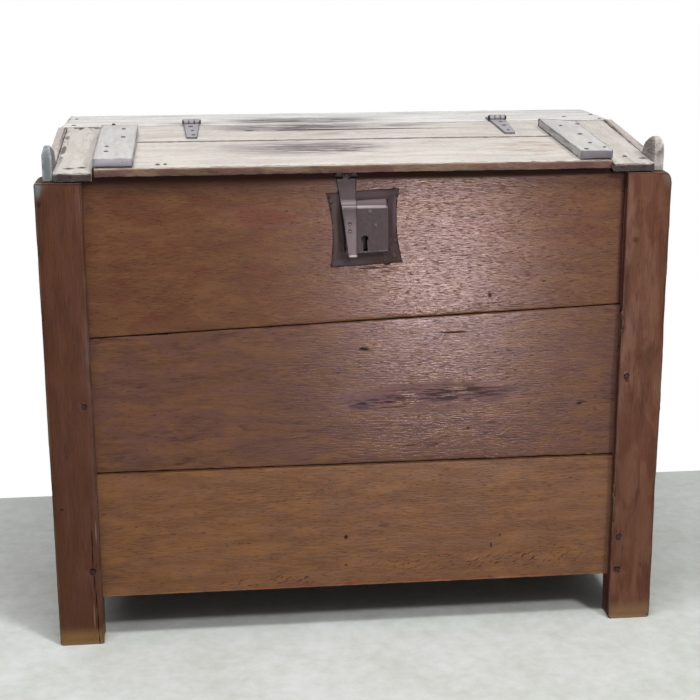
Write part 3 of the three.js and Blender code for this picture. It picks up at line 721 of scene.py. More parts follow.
# Marks on the upright fronts: X and Z of the centre, then the radii and a mark's other values.
LEFT_POST_SPLIT = ((-571.3, 241.3), (-572.2, 200), (-570.5, 150), (-568.4, 103.5), (-567, 50), (-566, 0))
FRONT_MARKS = {
    "front_left_post": (
        *((place, (2.2, 9, 33), "#140b08", 0.95) for place in LEFT_POST_SPLIT),
        ((-562.5, 258), (1.8, 9, 34), "#8a6f5c", 0.7),
        ((-574.4, 66), (2.2, 9, 40), "#8a6a50", 0.7),
        ((-646, 996), (15, 60, 34), "#747d79", 0.85),
        ((-630, 311.6), (6, 9, 4), "#20120e", 0.8),
        ((-641.1, 956.9), (5, 9, 8), "#2a1a16", 0.8),
    ),
    "front_right_post": (
        # Painted shade on the post's inner side, which faces the planks in its own shadow, darkest at the foot.
        ((552, 500), (8, 80, 2000), "#45201a", 0.9),
        ((552, 0), (8, 80, 120), "#20110c", 0.9),
        ((578.4, 858.5), (10, 10, 9), "#3a2420", 0.6),
        ((621.2, 608.9), (14, 10, 40), "#4a2f24", 0.5),
    ),
    "front_plank_top": (
        ((-545, 943), (16, 10, 6), "#3a2420", 0.6),
        ((30, 806), (60, 12, 10), "#3a2a22", 0.7, 0.5),
        ((58.4, 817), (9, 10, 5), "#0f0b0a", 0.95),
        ((276.5, 744), (5, 10, 7), "#3a2019", 0.85),
        ((391, 771), (7, 10, 3), "#3a2019", 0.8),
        ((310, 724), (80, 10, 9), "#2a1510", 0.9, 0.54, (60, 3), 4.0),
        ((-200, 920), (120, 30, 28), "#6d382a", 0.45, 0.4, (60, 8)),
        # Painted shadow of the right post on the plank beside it, darkest in the recess next to the post.
        ((575, 850), (34, 30, 300), "#58403a", 0.6),
        ((560, 850), (15, 30, 400), "#4a231c", 0.9),
        # Painted shadow of the lid's overhang along the top of the plank, deeper towards the left.
        ((100, 1004), (2000, 30, 16), "#2a130e", 0.9),
        ((-350, 1000), (500, 30, 30), "#3a1d14", 0.7),
    ),
    "front_plank_middle": (
        ((150, 525), (250, 20, 42), "#765a5e", 0.65, 0.42, (80, 12)),
        ((190, 532), (200, 20, 30), "#2e2224", 0.8, 0.5, (44, 3.2)),
        ((50, 515), (120, 20, 18), "#34262b", 0.9, 0.5, (30, 4)),
        ((6, 512.5), (34, 20, 16), "#4d3d42", 0.7, 0.42, (60, 9)),
        ((10.4, 635.3), (15, 10, 6), "#161110", 0.95, 0.4, (14, 3)),
        ((200, 666), (42, 10, 3), "#241310", 0.9),
        ((476.6, 500.3), (9, 10, 4), "#24140f", 0.9),
        ((477, 502), (28, 10, 8), "#39241c", 0.8, 0.5, (30, 3)),
        ((234.9, 452.8), (7, 10, 4), "#33211d", 0.8),
        ((165.8, 419.3), (6, 10, 2.6), "#24140f", 0.9),
        ((110, 418.7), (22, 10, 3), "#33211d", 0.7),
        ((287, 464.4), (16, 10, 4), "#3a2620", 0.6),
        ((200, 420), (140, 20, 26), "#4a332a", 0.5, 0.52, (60, 3), 20.0),
    ),
    "front_plank_bottom": (
        ((-29.3, 214.1), (6, 10, 7), "#1e1412", 0.95),
        ((-29.6, 148.6), (6, 10, 3), "#2e1f1a", 0.8),
        ((291.1, 180.4), (3, 10, 10), "#2e1a14", 0.85),
        ((310.7, 203.1), (4, 10, 6), "#3a2018", 0.7),
        ((53.8, 238.2), (18, 10, 7), "#5a3c33", 0.7),
        ((270, 145), (360, 20, 27), "#4a2a1e", 0.9, 0.57, (20, 5), 28.0),
        ((-160, 118), (200, 20, 20), "#4a2a1e", 0.9, 0.57, (20, 5), 20.0),
        ((100, 105), (500, 20, 10), "#7a4030", 0.5, 0.46, (60, 9)),
    ),
}

# The posts are dark with wax and handling, and their grain runs up in long soft lines.
WAXED_POST = Oak(
    "waxed_oak_post", Grain.ALONG_Z, "#5f4236", "#4a3029", "#2e1a15", "#6d6258", 0.0, stain="#3f241d",
    stain_cover=0.06, blush_size=(110, 30), tone_size=(130, 24), tone_strength=0.35, line_size=(45, 3.2),
    line_strength=0.1, pore_strength=0.3, roughness=(0.42, 0.58), arris_strength=0.45,
)
# The planks shine from wax and rubbing, the upper two most, and their pores stay as fine dark dashes.
WAXED_PLANKS = {
    "front_plank_top": Oak(
        "waxed_oak_top_plank", Grain.ALONG_X, "#6f4c33", "#583829", "#311b10", "#3c2113", 1.0, "#694430",
        stain="#663526", stain_cover=0.08, tone_strength=0.42, roughness=(0.2, 0.22), arris_reach=3,
        arris_strength=0.5, pore_size=(13, 1.5), pore_strength=0.75,
    ),
    "front_plank_middle": Oak(
        "waxed_oak_middle_plank", Grain.ALONG_X, "#704d37", "#563b2e", "#2b1813", "#362217", 23.0, "#68473d",
        stain="#4d332b", stain_cover=0.1, tone_strength=0.42, roughness=(0.2, 0.22), arris_reach=3,
        arris_strength=0.5,
    ),
    "front_plank_bottom": Oak(
        "waxed_oak_bottom_plank", Grain.ALONG_X, "#805838", "#69462c", "#3e2516", "#492f1c", 41.0, "#78543d",
        stain="#5c3d2b", stain_cover=0.06, roughness=(0.32, 0.42), arris_reach=3, arris_strength=0.5,
    ),
}
# The back and the sides have had no wax for long: duller and more open.
DRY_BACK = Oak("dry_oak_back", Grain.ALONG_X, "#7a5b48", "#5f4437", "#35231c", "#4a362b", 57.0, roughness=(0.5, 0.66))
DRY_SIDES = Oak(
    "dry_oak_sides", Grain.ALONG_Y, "#755543", "#5c4034", "#35231c", "#4a362b", 63.0, roughness=(0.48, 0.62)
)
# The underside is nearly black. The inside is as pale as fresh sawn oak.
UNDERSIDE = Oak(
    "dark_oak_underside", Grain.ALONG_Y, "#3a2f27", "#2a211b", "#17110e", "#3a2f27", 101.0, roughness=(0.7, 0.8)
)
RAW = Oak("raw_oak_inside", Grain.ALONG_X, "#9a7b5c", "#7d6047", "#54402f", "#8a6d52", 91.0, roughness=(0.6, 0.75))
# Cut ends are rougher and darker than the faces, and grey where the weather gets to them.
WAXED_END = EndGrain(
    "waxed_end_grain", Grain.ALONG_X, "#5c443a", "#41302a", "#2a1d19", "#5f5049", 97.0, roughness=(0.55, 0.7)
)
GREY_END = EndGrain(
    "weathered_end_grain", Grain.ALONG_X, "#4c4240", "#362f2e", "#1e1918", "#5e5650", 99.0, roughness=(0.65, 0.8)
)
BATTEN_END = EndGrain(
    "weathered_batten_end_grain", Grain.ALONG_Y, "#7b767c", "#696369", "#544e57", "#6c676e", 37.0,
    line_strength=0.08, pore_strength=0.2, relief=0.1, roughness=(0.65, 0.8),
    marks=(Mark((-490, -324, 1040), (120, 60, 80), "#a29ca4", 0.9),),
)
# Rain and sun have bleached the ears and the whole top and taken their shine. The joints and a line along each ear
# stay dark.
EARS = Oak(
    "weathered_oak_ears", Grain.ALONG_Y, "#b3aaa5", "#8d8681", "#4a4440", "#b9b3ae", 71.0, stain="#5c554e",
    stain_cover=0.2, roughness=(0.6, 0.75),
    marks=(
        Mark((-622, 20, 1060), (60, 270, 200), "#b3aaa3", 0.85),
        Mark((-612.5, 70, 1060), (7, 330, 200), "#3a2f2c", 0.95),
        Mark((622, 20, 1060), (60, 270, 200), "#b3aaa3", 0.85),
        Mark((612.5, 70, 1060), (7, 330, 200), "#3a2f2c", 0.95),
        Mark((-622, -300, 1030), (100, 70, 200), "#6f787b", 0.9),
    ),
)
# Hands that lift the lid keep its front edge brown and leave paler wood where they rub. The edge is also drawn darker
# as painted shade, and so are the faces under it, which take the same finish.
LID_EDGE = Oak(
    "handled_and_shaded_oak_lid_edge", Grain.ALONG_X, "#7a6553", "#4d372f", "#281a15", "#ad9c88", 33.0, "#6a4b45",
    stain="#3a241c", stain_cover=0.12, roughness=(0.5, 0.65), arris_reach=6, arris_strength=0.8,
)
LID = Oak(
    "weathered_oak_lid", Grain.ALONG_X, "#c0bab4", "#a9a19a", "#786d65", "#a09488", 5.0, stain="#6c6668",
    stain_cover=0.02, stain_size=(220, 30), tone_size=(180, 26), tone_strength=0.45, line_size=(70, 3.2),
    line_strength=0.1, roughness=(0.6, 0.78), relief=0.25, arris_strength=0.3,
    marks=(
        Mark((-110, -170, 1035), (220, 90, 100), "#847b81", 0.85, 0.4, (110, 8)),
        Mark((-60, -175, 1035), (170, 70, 100), "#453c40", 0.85, 0.485, (60, 5)),
        Mark((-110, 50, 1060), (250, 60, 100), "#857d7f", 0.85, 0.4, (110, 8)),
        Mark((-90, 35, 1060), (220, 50, 100), "#4b4346", 0.8, 0.485, (70, 6)),
        Mark((140, 50, 1060), (70, 25, 100), "#7d757b", 0.75, 0.42, (50, 8)),
        Mark((0, -30, 1050), (300, 30, 100), "#9c8f8c", 0.7, 0.5, (80, 8)),
        Mark((400, -200, 1030), (140, 100, 100), "#9c8a79", 0.8, 0.52, (60, 9)),
        Mark((-270, -140, 1040), (100, 30, 100), "#9a8d87", 0.7, 0.52, (60, 9)),
        Mark((0, 12, 1059), (340, 8, 100), "#2c221f", 0.95, 0.4, (120, 9)),
        Mark((-210, 12, 1059), (16, 7, 100), "#1e1817", 0.95),
        Mark((0, -89, 1045), (2000, 8, 100), "#54453d", 0.95),
        Mark((0, 79, 1060), (2000, 7, 100), "#4a403c", 0.9),
        Mark((-405, -300, 1022), (7, 12, 100), "#2a2220", 0.9),
        Mark((-390, -298, 1022), (5, 12, 100), "#2a2220", 0.9),
    ),
)
REAR_BOARD = Oak(
    "weathered_oak_rear_board", Grain.ALONG_X, "#d4d1ce", "#b3adab", "#7e7874", "#a39c96", 13.0, stain="#898486",
    stain_cover=0.08, stain_size=(260, 22), tone_size=(180, 26), tone_strength=0.45, line_size=(70, 3.2),
    line_strength=0.1, roughness=(0.6, 0.78), relief=0.25,
    marks=(
        Mark((-100, 160, 1066), (250, 90, 100), "#7d7779", 0.8, 0.42, (110, 8)),
        Mark((-100, 140, 1066), (210, 70, 100), "#3f383e", 0.9, 0.5, (80, 6)),
        Mark((-350, 120, 1066), (90, 40, 100), "#5a5556", 0.85, 0.46, (50, 8)),
    ),
)
END_BOARDS = Oak(
    "weathered_oak_end_boards", Grain.ALONG_Y, "#bcb6b0", "#a8a29b", "#796f64", "#5d554f", 19.0, stain="#989085",
    stain_cover=0.1, tone_strength=0.45, line_size=(60, 4), line_strength=0.06, pore_strength=0.2,
    roughness=(0.6, 0.78), relief=0.2, arris_reach=9,
    marks=(
        Mark((-582, -287, 1010), (17, 10, 100), "#4d4644", 0.8),
        Mark((-556.5, -281, 1010), (15, 9, 100), "#5a524f", 0.8),
        Mark((-575, 65, 1050), (60, 22, 100), "#3a3433", 0.9, 0.5, (16, 12)),
        Mark((-604, -100, 1030), (8, 200, 100), "#3f3836", 0.8, 0.45, (40, 14)),
        Mark((598, -282, 1010), (14, 9, 100), "#5a524f", 0.8),
    ),
)
BATTENS = Oak(
    "weathered_oak_battens", Grain.ALONG_Y, "#b7b4b3", "#a7a3a1", "#7f7975", "#8d8885", 29.0, tone_strength=0.5,
    line_size=(60, 4), line_strength=0.06, pore_strength=0.2, roughness=(0.6, 0.78), relief=0.2,
)
PEGS = Oak("oak_pegs", Grain.ALONG_Y, "#432c24", "#301f1a", "#150e0c", "#33231d", 83.0)

# Wrought iron, brown black and dull. Painted highlights lighten the hasp and the case where they catch the light, and
# painted shadows of both darken the plate.
# A painted highlight along the lower edge of the case's sloping top, laid on the hasp and the case alike.
PAINTED_HIGHLIGHT_LINE = Mark((0, -320, 938.5), (200, 60, 4), "#a3989b", 0.85)
HASP = Iron(
    "forged_iron_hasp", "#52474a", "#493d3c", "#776b6f",
    marks=(
        # Painted highlights: glare on the lower hasp, its bend over the case's top, and its tip.
        Mark((-25, -320, 862), (60, 60, 80), "#75696c", 0.95),
        Mark((0, -320, 946.5), (200, 60, 4.5), "#857a79", 0.8),
        PAINTED_HIGHLIGHT_LINE,
        Mark((-15.7, -320, 837.5), (40, 60, 4.5), "#a59a9c", 0.9),
    ),
)
CASE = Iron(
    "forged_iron_case", "#473d3e", "#3f3530", "#6a5e5e", seed=3.0,
    # The case's sloping top is painted lighter, as lit from above.
    marks=(Mark((15, -315, 953.4), (200, 60, 16), "#65585b", 0.95), PAINTED_HIGHLIGHT_LINE),
)
PLATE = Iron(
    "rusty_iron_plate", "#392b2b", "#3d2b22", "#463938", rust_cover=0.16, seed=5.0,
    marks=(
        Mark((-52, -304, 890), (11, 30, 110), "#4f423e", 0.8),
        Mark((77, -304, 925), (10, 30, 60), "#50434a", 0.7),
        Mark((20, -304, 963.3), (65, 30, 11), "#4c4146", 0.7),
        Mark((-20, -304, 821), (60, 30, 10), "#4e4145", 0.7),
        # Painted shadows of the lock case and hasp on the plate: left of the case, right of it and under it.
        Mark((-37, -304, 885), (9, 30, 70), "#261c1b", 0.85),
        Mark((64, -304, 893), (6, 30, 70), "#2c2021", 0.8),
        Mark((14.5, -304, 837), (65, 30, 6), "#261c1c", 0.8),
    ),
)
# Rain pales the straps to zinc grey, and their darker edges are painted shade. Inside the lock is soot, and the spring
# keeps its blue temper.
STRAPS = Iron("bleached_iron_straps", "#959295", "#615f65", "#565458", metallic=0.1, seed=9.0)
SOOTY = Iron("sooty_iron_inside", "#1f1b1b", "#2a211c", "#3a3435", metallic=0.0, seed=11.0)
SPRING = Iron("blued_spring_steel", "#565860", "#4a4340", "#7d8088", (0.3, 0.4), 0.8, seed=13.0)
# Hand-made nails are as dark as their holes, and rusty where they hold the lock plate.
NAILS = Iron("forged_iron_nails", "#453e42", "#43332d", "#5c565a", metallic=0.1, seed=17.0)
RUSTY_NAILS = Iron("rusty_iron_nails", "#3a3032", "#382821", "#4a3f41", seed=21.0)
RIVETS = Iron("forged_iron_rivets", "#493f41", "#3f3530", "#625759", seed=19.0)


def front_marks(node: str, face: float) -> tuple[Mark, ...]:
    """The marks that the table has for an upright piece, on the front at a given Y in millimetres."""
    return tuple(Mark((x, face, z), *rest) for (x, z), *rest in FRONT_MARKS.get(node, ()))


@dataclass
class Chest:
    """The posts, planks, side boards and floor."""

    shop: Workshop
    post: Wear = Wear(
        bevel=3.5 * MM, sway=5.5 * MM, nibble=1.2 * MM, face=1.0 * MM, reach=20 * MM, shoulder=32 * MM, across=18 * MM
    )
    plank: Wear = Wear(bevel=1.2 * MM, sway=0.8 * MM, nibble=1.2 * MM, face=0.12 * MM, reach=9 * MM)
    hidden: Wear = Wear(bevel=1.6 * MM, sway=0.8 * MM, nibble=0.8 * MM, step=30 * MM, across=60 * MM)

    def build(self, inner: Material, end: Material) -> None:
        """Makes and dresses the timbers.

        Args:
            inner: raw oak for unseen sides.
            end: end grain.
        """
        self.posts(inner, end)
        self.front(inner, end)
        self.back_and_sides(inner, end)
        self.floor(inner)

    def posts(self, inner: Material, end: Material) -> None:
        """The four corner posts, dark with handling and wax."""
        for node, light, dark, blush, scuffed, shoulder, seed in (
            ("front_left_post", "#563421", "#432616", "#593628", "#8a6a42", 16, 3.0),
            ("front_right_post", "#5d3624", "#49291c", "#6a4532", "#86684c", 32, 7.0),
            ("rear_left_post", "#5f4236", "#4a3029", "#593628", "#8a6a42", 16, 11.0),
            ("rear_right_post", "#5f4236", "#4a3029", "#6a4532", "#86684c", 32, 17.0),
        ):
            piece = self.shop.worn(node, replace(self.post, shoulder=shoulder * MM), Grain.ALONG_Z, "post_oak", seed)
            low, high = (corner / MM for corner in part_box(node))
            outer = low.x if "left" in node else high.x
            foot = Mark((outer, low.y, 0), (300, 200, 48), scuffed, 0.75)
            grey_shoulder = Mark((outer, low.y, high.z), (30, 200, 55), "#6f6a60", 0.55, 0.36, (60, 14))
            marks = (foot, grey_shoulder, *front_marks(node, low.y))
            name = f"waxed_oak_{node}"
            finish = replace(WAXED_POST, name=name, light=light, dark=dark, seed=seed, blush=blush, marks=marks)
            sort_faces(piece, None, Grain.ALONG_Z)
            dress(piece, finish.material(), inner, end)

    def front(self, inner: Material, end: Material) -> None:
        """The three front planks, waxed and polished by use."""
        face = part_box("front_plank_top")[0].y / MM
        for node, finish in WAXED_PLANKS.items():
            wear = replace(self.plank, hollow=4 * MM) if node.endswith("top") else self.plank
            piece = self.shop.worn(node, wear, Grain.ALONG_X, "wall_oak", finish.seed)
            sort_faces(piece, (0.0, 1.0, 0.0), Grain.ALONG_X)
            dress(piece, replace(finish, marks=front_marks(node, face)).material(), inner, end)

    def back_and_sides(self, inner: Material, end: Material) -> None:
        """Back planks and side boards, waxed less often and so drier and browner."""
        back, side, ear = (finish.material() for finish in (DRY_BACK, DRY_SIDES, EARS))
        for course in ("bottom", "middle", "top"):
            piece = self.shop.worn(f"back_plank_{course}", self.hidden, Grain.ALONG_X, "wall_oak", 4.0)
            sort_faces(piece, (0.0, -1.0, 0.0), Grain.ALONG_X)
            dress(piece, back, inner, end)
            for side_name, inward in (("left", 1.0), ("right", -1.0)):
                wear = self.plank if course == "top" else self.hidden
                node = f"{side_name}_side_board_{course}"
                piece = self.shop.worn(node, wear, Grain.ALONG_Y, "wall_oak", 5.0 * inward)
                sort_faces(piece, (inward, 0.0, 0.0), Grain.ALONG_Y)
                dress(piece, side, inner, end, ear)
                if course == "top":
                    self.grey_the_ears(piece)

    def grey_the_ears(self, piece: Piece) -> None:
        """Faces above the posts' shoulders stand in the weather, so they go grey."""
        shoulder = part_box("front_left_post")[1].z
        for polygon in piece.data.polygons:
            if polygon.center.z > shoulder - 6 * MM:
                polygon.material_index = Face.FRONT.value

    def floor(self, inner: Material) -> None:
        """Floor boards and ledgers, raw inside and nearly black underneath."""
        below = UNDERSIDE.material()
        boards = [(f"floor_board_{number}", Grain.ALONG_Y) for number in range(1, 6)]
        ledgers = [(f"{side}_floor_ledger", Grain.ALONG_X) for side in ("front", "back")]
        for number, (node, grain) in enumerate(boards + ledgers):
            piece = self.shop.worn(node, self.hidden, grain, "inner_oak", number)
            sort_faces(piece, (0.0, 0.0, -1.0), grain)
            dress(piece, inner, below, inner)


@dataclass
class Top:
    """The fixed boards of the top and the lid, bare oak gone grey."""

    shop: Workshop
    board: Wear = Wear(bevel=3 * MM, sway=2.6 * MM, nibble=2.4 * MM, face=0.9 * MM, reach=14 * MM, shaded_below=True)
    batten: Wear = Wear(bevel=2.2 * MM, sway=3.2 * MM, nibble=2.6 * MM, face=0.6 * MM, reach=12 * MM, step=8 * MM)

    def build(self, inner: Material, end: Material) -> None:
        """Makes and dresses the boards of the top.

        Args:
            inner: raw oak for the undersides.
            end: weathered end grain.
        """
        finishes = (LID_EDGE, BATTEN_END, LID, REAR_BOARD, END_BOARDS, BATTENS)
        edge, light_end, lid, rear, cross, batten = (finish.material() for finish in finishes)
        for node, grain, wear, finish, ends, slot in (
            ("lid_front_board", Grain.ALONG_X, self.board, lid, end, "weathered_oak"),
            ("lid_rear_board", Grain.ALONG_X, self.board, lid, end, "weathered_oak"),
            ("rear_top_board", Grain.ALONG_X, self.board, rear, light_end, "weathered_oak"),
            ("left_end_board", Grain.ALONG_Y, self.board, cross, end, "weathered_oak"),
            ("right_end_board", Grain.ALONG_Y, self.board, cross, end, "weathered_oak"),
            ("left_lid_batten", Grain.ALONG_Y, self.batten, batten, light_end, "batten_oak"),
            ("right_lid_batten", Grain.ALONG_Y, self.batten, batten, light_end, "batten_oak"),
        ):
            piece = self.shop.worn(node, wear, grain, slot, 6.0)
            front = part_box(node)[0].y + 10 * MM if node == "lid_front_board" else None
            sort_faces(piece, (0.0, 0.0, -1.0), grain, front)
            dress(piece, finish, inner, ends, edge)
        dress(self.shop.worn("rear_top_bearer", Wear(step=30 * MM), Grain.ALONG_X, "inner_oak", 8.0), inner)


@dataclass
class Ironwork:
    """The strap hinges, hasp and lock."""

    shop: Workshop
    forged: Wear = Wear(
        bevel=0.9 * MM, sway=0.7 * MM, nibble=0.5 * MM, face=0.35 * MM, reach=5 * MM, step=5 * MM, across=9 * MM
    )
    ragged: Wear = Wear(
        bevel=0.5 * MM, sway=1.8 * MM, nibble=1.6 * MM, face=0.2 * MM, reach=6 * MM, step=4 * MM, across=6 * MM
    )

    def build(self) -> None:
        """Makes and dresses the irons."""
        finishes = (HASP, CASE, PLATE, STRAPS, SOOTY, SPRING)
        hasp, case, plate, strap, inside, spring = (finish.material() for finish in finishes)
        for node, grain, wear, finish, slot in (
            ("hasp", Grain.ALONG_Z, self.forged, hasp, "wrought_iron"),
            ("hasp_leaf", Grain.ALONG_Y, self.forged, case, "wrought_iron"),
            ("hasp_staple", Grain.ALONG_Z, self.forged, hasp, "wrought_iron"),
            ("lock_case", Grain.ALONG_X, self.forged, case, "wrought_iron"),
            ("lock_plate", Grain.ALONG_X, self.ragged, plate, "dark_iron"),
            ("left_hinge_strap", Grain.ALONG_Y, self.forged, strap, "wrought_iron"),
            ("right_hinge_strap", Grain.ALONG_Y, self.forged, strap, "wrought_iron"),
            ("left_hinge_leaf", Grain.ALONG_Y, self.forged, strap, "wrought_iron"),
            ("right_hinge_leaf", Grain.ALONG_Y, self.forged, strap, "wrought_iron"),
        ):
            piece = self.shop.worn(node, wear, grain, slot, 9.0)
            dress(piece, finish, inside)
            if node.startswith("lock"):
                self.darken_inside(piece)
        nodes = self.shop.frame["nodes"]
        bare = ("left_hinge_pin", "right_hinge_pin", "hasp_pin", "lock_bolt", "lock_left_guide", "lock_right_guide")
        for node in bare:
            dress(nodes[node], inside)
        dress(nodes["lock_spring"], spring)

    def darken_inside(self, piece: Piece) -> None:
        """Soot and old grease blacken what lies behind the walls of the lock case."""
        low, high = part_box("lock_case")
        middle = (low + high) / 2
        for polygon in piece.data.polygons:
            place = polygon.center
            inside = all(low[i] + 3 * MM < place[i] < high[i] - 3 * MM for i in (0, 2))
            if piece.name.endswith("case"):
                inside = inside and (place - middle).dot(polygon.normal) < 0
            if inside and place.y > low.y + 0.9 * MM:
                polygon.material_index = 1


@dataclass
class Fastenings:
    """Pegs through the posts and hand-made clout nails."""

    shop: Workshop
    radius: float = 5.5 * MM
    proud: float = 1.3 * MM
    above: float = 1.3
    before: float = -0.4

    def head(self, bm: Mesh, point: Vector, normal: Vector, radius: float, turn: float) -> None:
        """Adds one hammered nail head.

        Args:
            bm: the mesh that takes it.
            point: where it sits.
            normal: the way that it faces.
            radius: its radius.
            turn: its turn about the normal.
        """
        facing = normal.to_track_quat("Z", "Y").to_matrix().to_4x4()
        matrix = Matrix.Translation(point + normal * self.proud * 0.2) @ facing @ Matrix.Rotation(turn, 4, "Z")
        size = {"radius1": radius, "radius2": radius * 0.72, "depth": self.proud * 1.6}
        made = bmesh.ops.create_cone(bm, cap_ends=True, segments=10, matrix=matrix, **size)
        edges = dict.fromkeys(e for v in made["verts"] for e in v.link_edges)
        rim = [e for e in edges if e.calc_face_angle(0) > RIM_EDGE]
        bmesh.ops.bevel(bm, geom=rim, offset=self.proud * 0.35, affect="EDGES", segments=2, profile=0.5, material=-1)

    def nails(self, name: str, body: str, aims: list[Aim], iron: Material) -> None:
        """Makes one group of nails.

        Args:
            name: the group's name.
            body: the body that they ride on.
            aims: for each nail its node, the start of a line towards it and the line's direction.
            iron: their finish.
        """
        bm = bmesh.new()
        for number, (node, origin, direction) in enumerate(aims):
            point, normal = self.shop.surface(node, origin, direction)
            if point is None:
                log.warning("%s: nail %d misses %s", name, number, node)
                continue
            size = self.radius * (0.85 + 0.3 * ((number * 7) % 5) / 4)
            self.head(bm, point, normal, size, number * 1.3)
        for vertex in bm.verts:
            vertex.co += noise.noise_vector(vertex.co * 300) * 0.25 * MM
        for face in bm.faces:
            face.smooth = True
        dress(self.shop.place(name, bm, body, "dark_iron"), iron)

    def down(self, node: str, *spots: Pair) -> list[Aim]:
        """Nails driven down into a piece at X and Y in millimetres."""
        return [(node, (x * MM, y * MM, self.above), (0.0, 0.0, -1.0)) for x, y in spots]

    def back(self, node: str, *spots: Pair) -> list[Aim]:
        """Nails driven back into a piece at X and Z in millimetres."""
        return [(node, (x * MM, self.before, z * MM), (0.0, 1.0, 0.0)) for x, z in spots]

    def build(self) -> None:
        """Makes the nails and dresses the pegs."""
        battens = self.down("left_lid_batten", (-505, 1), (-481.5, -44), (-479, -127), (-509, -216), (-508, -263))
        battens += self.down(
            "right_lid_batten", (472, -79), (514, -62), (492.5, -168), (491, -256), (469, -312), (510, -299)
        )
        straps = self.down("left_hinge_strap", (-334, 1), (-332, -45), (-338, 44))
        straps += self.down("right_hinge_strap", (364, 47), (364, 8), (363, -41))
        boards = self.down("left_end_board", (-582, -287), (-556.5, -280.5))
        boards += self.down("right_end_board", (564.5, -264.5), (598, -282))
        boards += self.down("rear_top_board", (612, 192), (608, 97), (536, 147), (-600, 110), (-604, 250))
        plate = self.back("lock_plate", (75, 866), (73, 834), (-57, 950), (80, 962))
        case = self.back("lock_case", (32.5, 900.3), (20.9, 929))
        iron, rusty, rivet, peg = (finish.material() for finish in (NAILS, RUSTY_NAILS, RIVETS, PEGS))
        for name, body, aims, material in (
            ("lid_batten_nails", "lid", battens, iron),
            ("hinge_strap_nails", "lid", straps, iron),
            ("top_board_nails", "chest", boards, iron),
            ("lock_plate_nails", "chest", plate, rusty),
            ("lock_case_rivets", "chest", case, rivet),
        ):
            self.nails(name, body, aims, material)
        for node, piece in self.shop.frame["nodes"].items():
            if "_peg_" in node:
                dress(piece, peg)


@dataclass(frozen=True)
class Lamp:
    """A soft rectangular lamp that the camera doesn't see. It hangs at its place and faces its aim,
    with its power in watts, and shows only as a reflection where it is glossy_only.
    """

    name: str
    place: Triple
    aim: Triple
    size: Pair
    power: float
    colour: str = "#ffffff"
    glossy_only: bool = False

    def hang(self) -> None:
        """Puts the lamp in the scene."""
        data = bpy.data.lights.new(self.name, "AREA")
        data.color = linear(self.colour)[:3]
        data.shape = "RECTANGLE"
        data.size, data.size_y = self.size
        data.energy = self.power
        lamp = put(self.name, data)
        lamp.location = self.place
        lamp.rotation_euler = (Vector(self.aim) - Vector(self.place)).to_track_quat("-Z", "Y").to_euler()
        lamp.visible_diffuse = not self.glossy_only
        lamp.visible_camera = False


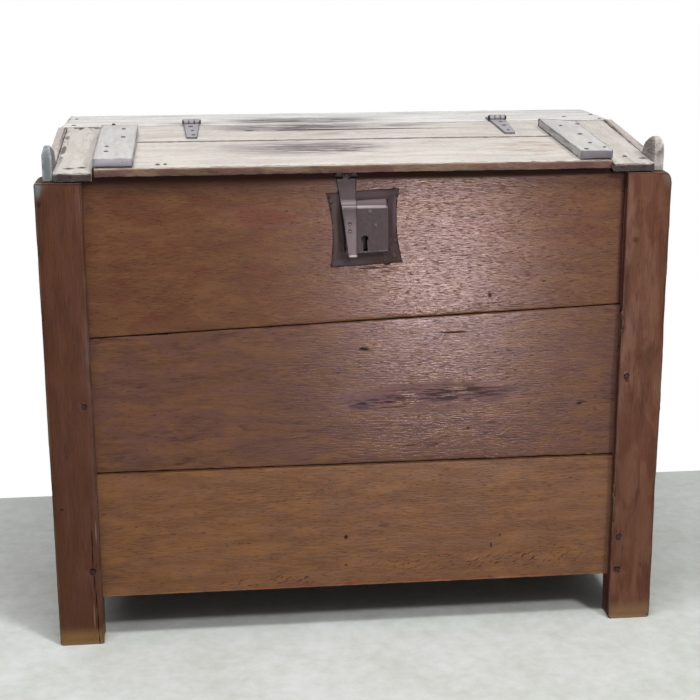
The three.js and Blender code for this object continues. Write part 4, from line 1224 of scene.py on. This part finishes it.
@dataclass
class Studio:
    """Floor, lamps and the camera of the photograph."""

    eye: Triple = (-0.32498, -3.23248, 1.42272)
    yaw: float = 5.959
    pitch: float = 14.990
    roll: float = 0.193
    lens: float = 74.783
    sensor: float = 36.0
    ambient: float = 0.37
    floor_size: Pair = (9.0, 5.2)
    floor_middle: float = -2.0
    lamps: tuple[Lamp, ...] = (
        Lamp("key", (1.9, -3.2, 3.6), (0.0, 0.0, 0.6), (0.6, 0.6), 95.0),
        Lamp("overhead", (-0.25, -1.3, 3.3), (0.0, -0.2, 0.6), (2.2, 0.3), 60.0),
        Lamp("back", (-2.2, 2.8, 1.9), (0.0, 0.0, 0.6), (1.6, 0.5), 22.0),
        Lamp("window", (0.66, -3.3, 0.2), (0.1, -0.3, 0.6), (0.4, 0.38), 90.0, "#ffe6ec", True),
    )

    def camera(self) -> None:
        """Sets the camera from its place and its three turns."""
        yaw, pitch, roll = (math.radians(a) for a in (self.yaw, self.pitch, self.roll))
        ahead = Vector((math.sin(yaw) * math.cos(pitch), math.cos(yaw) * math.cos(pitch), -math.sin(pitch)))
        right = Vector((math.cos(yaw), -math.sin(yaw), 0.0))
        down = ahead.cross(right)
        side = math.cos(roll) * right + math.sin(roll) * down
        up = -(-math.sin(roll) * right + math.cos(roll) * down)
        data = bpy.data.cameras.new("photograph")
        data.lens = self.lens
        data.sensor_width = self.sensor
        data.sensor_fit = "HORIZONTAL"
        camera = put("photograph", data)
        rows = [(side[i], up[i], -ahead[i], self.eye[i]) for i in range(3)]
        camera.matrix_world = Matrix((*rows, (0, 0, 0, 1)))
        bpy.context.scene.camera = camera

    def floor(self) -> None:
        """A pale floor that ends where the photograph's wall begins."""
        bm = bmesh.new()
        bmesh.ops.create_grid(bm, x_segments=8, y_segments=8, size=0.5)
        bmesh.ops.scale(bm, vec=(*self.floor_size, 1.0), verts=bm.verts)
        bmesh.ops.translate(bm, vec=(0.0, self.floor_middle, 0.0), verts=bm.verts)
        mesh = bpy.data.meshes.new("floor")
        bm.to_mesh(mesh)
        bm.free()
        mesh.materials.append(Concrete().material())
        put("floor", mesh)

    def world(self) -> None:
        """White behind the object. Round it an even light from above and in front, and none from
        the wall close behind.
        """
        world = bpy.data.worlds.new("white_room")
        world.use_nodes = True
        tree = world.node_tree
        tree.nodes.clear()
        seen = add_node(tree, "LightPath", out="Is Camera Ray")
        rays = seen.node.outputs
        for other in ("Is Glossy Ray", "Is Transmission Ray"):
            seen = add_node(tree, "Math", {0: seen, 1: rays[other]}, operation="MAXIMUM")
        way = add_node(tree, "TexCoord", out="Generated")
        lift = add_node(tree, "VectorMath", {0: way, 1: (0.0, -0.2, 1.0)}, "Value", operation="DOT_PRODUCT")
        rise = {0: lift, 1: 0.45, 2: 1.0, 3: 0.0, 4: self.ambient * 2.0}
        dome = add_node(tree, "MapRange", rise, interpolation_type="SMOOTHSTEP")
        room, white = (
            add_node(tree, "Background", {"Color": linear("#ffffff"), "Strength": strength})
            for strength in (dome, 1.0)
        )
        both = add_node(tree, "MixShader", {0: seen, 1: room, 2: white})
        add_node(tree, "OutputWorld", {"Surface": both})
        bpy.context.scene.world = world

    def build(self) -> None:
        """Sets floor, world, lamps and camera."""
        self.floor()
        self.world()
        for lamp in self.lamps:
            lamp.hang()
        self.camera()
        bpy.context.scene.view_settings.view_transform = "Standard"


def main() -> None:
    """Builds the chest on its frame and dresses it."""
    logging.basicConfig(level=logging.INFO)
    noise.seed_set(NOISE_SEED)
    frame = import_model()
    shop = Workshop(frame)
    inner, end, grey_end = (finish.material() for finish in (RAW, WAXED_END, GREY_END))
    Chest(shop).build(inner, end)
    Top(shop).build(inner, grey_end)
    Ironwork(shop).build()
    Fastenings(shop).build()
    Studio().build()


if __name__ == "__main__":
    main()
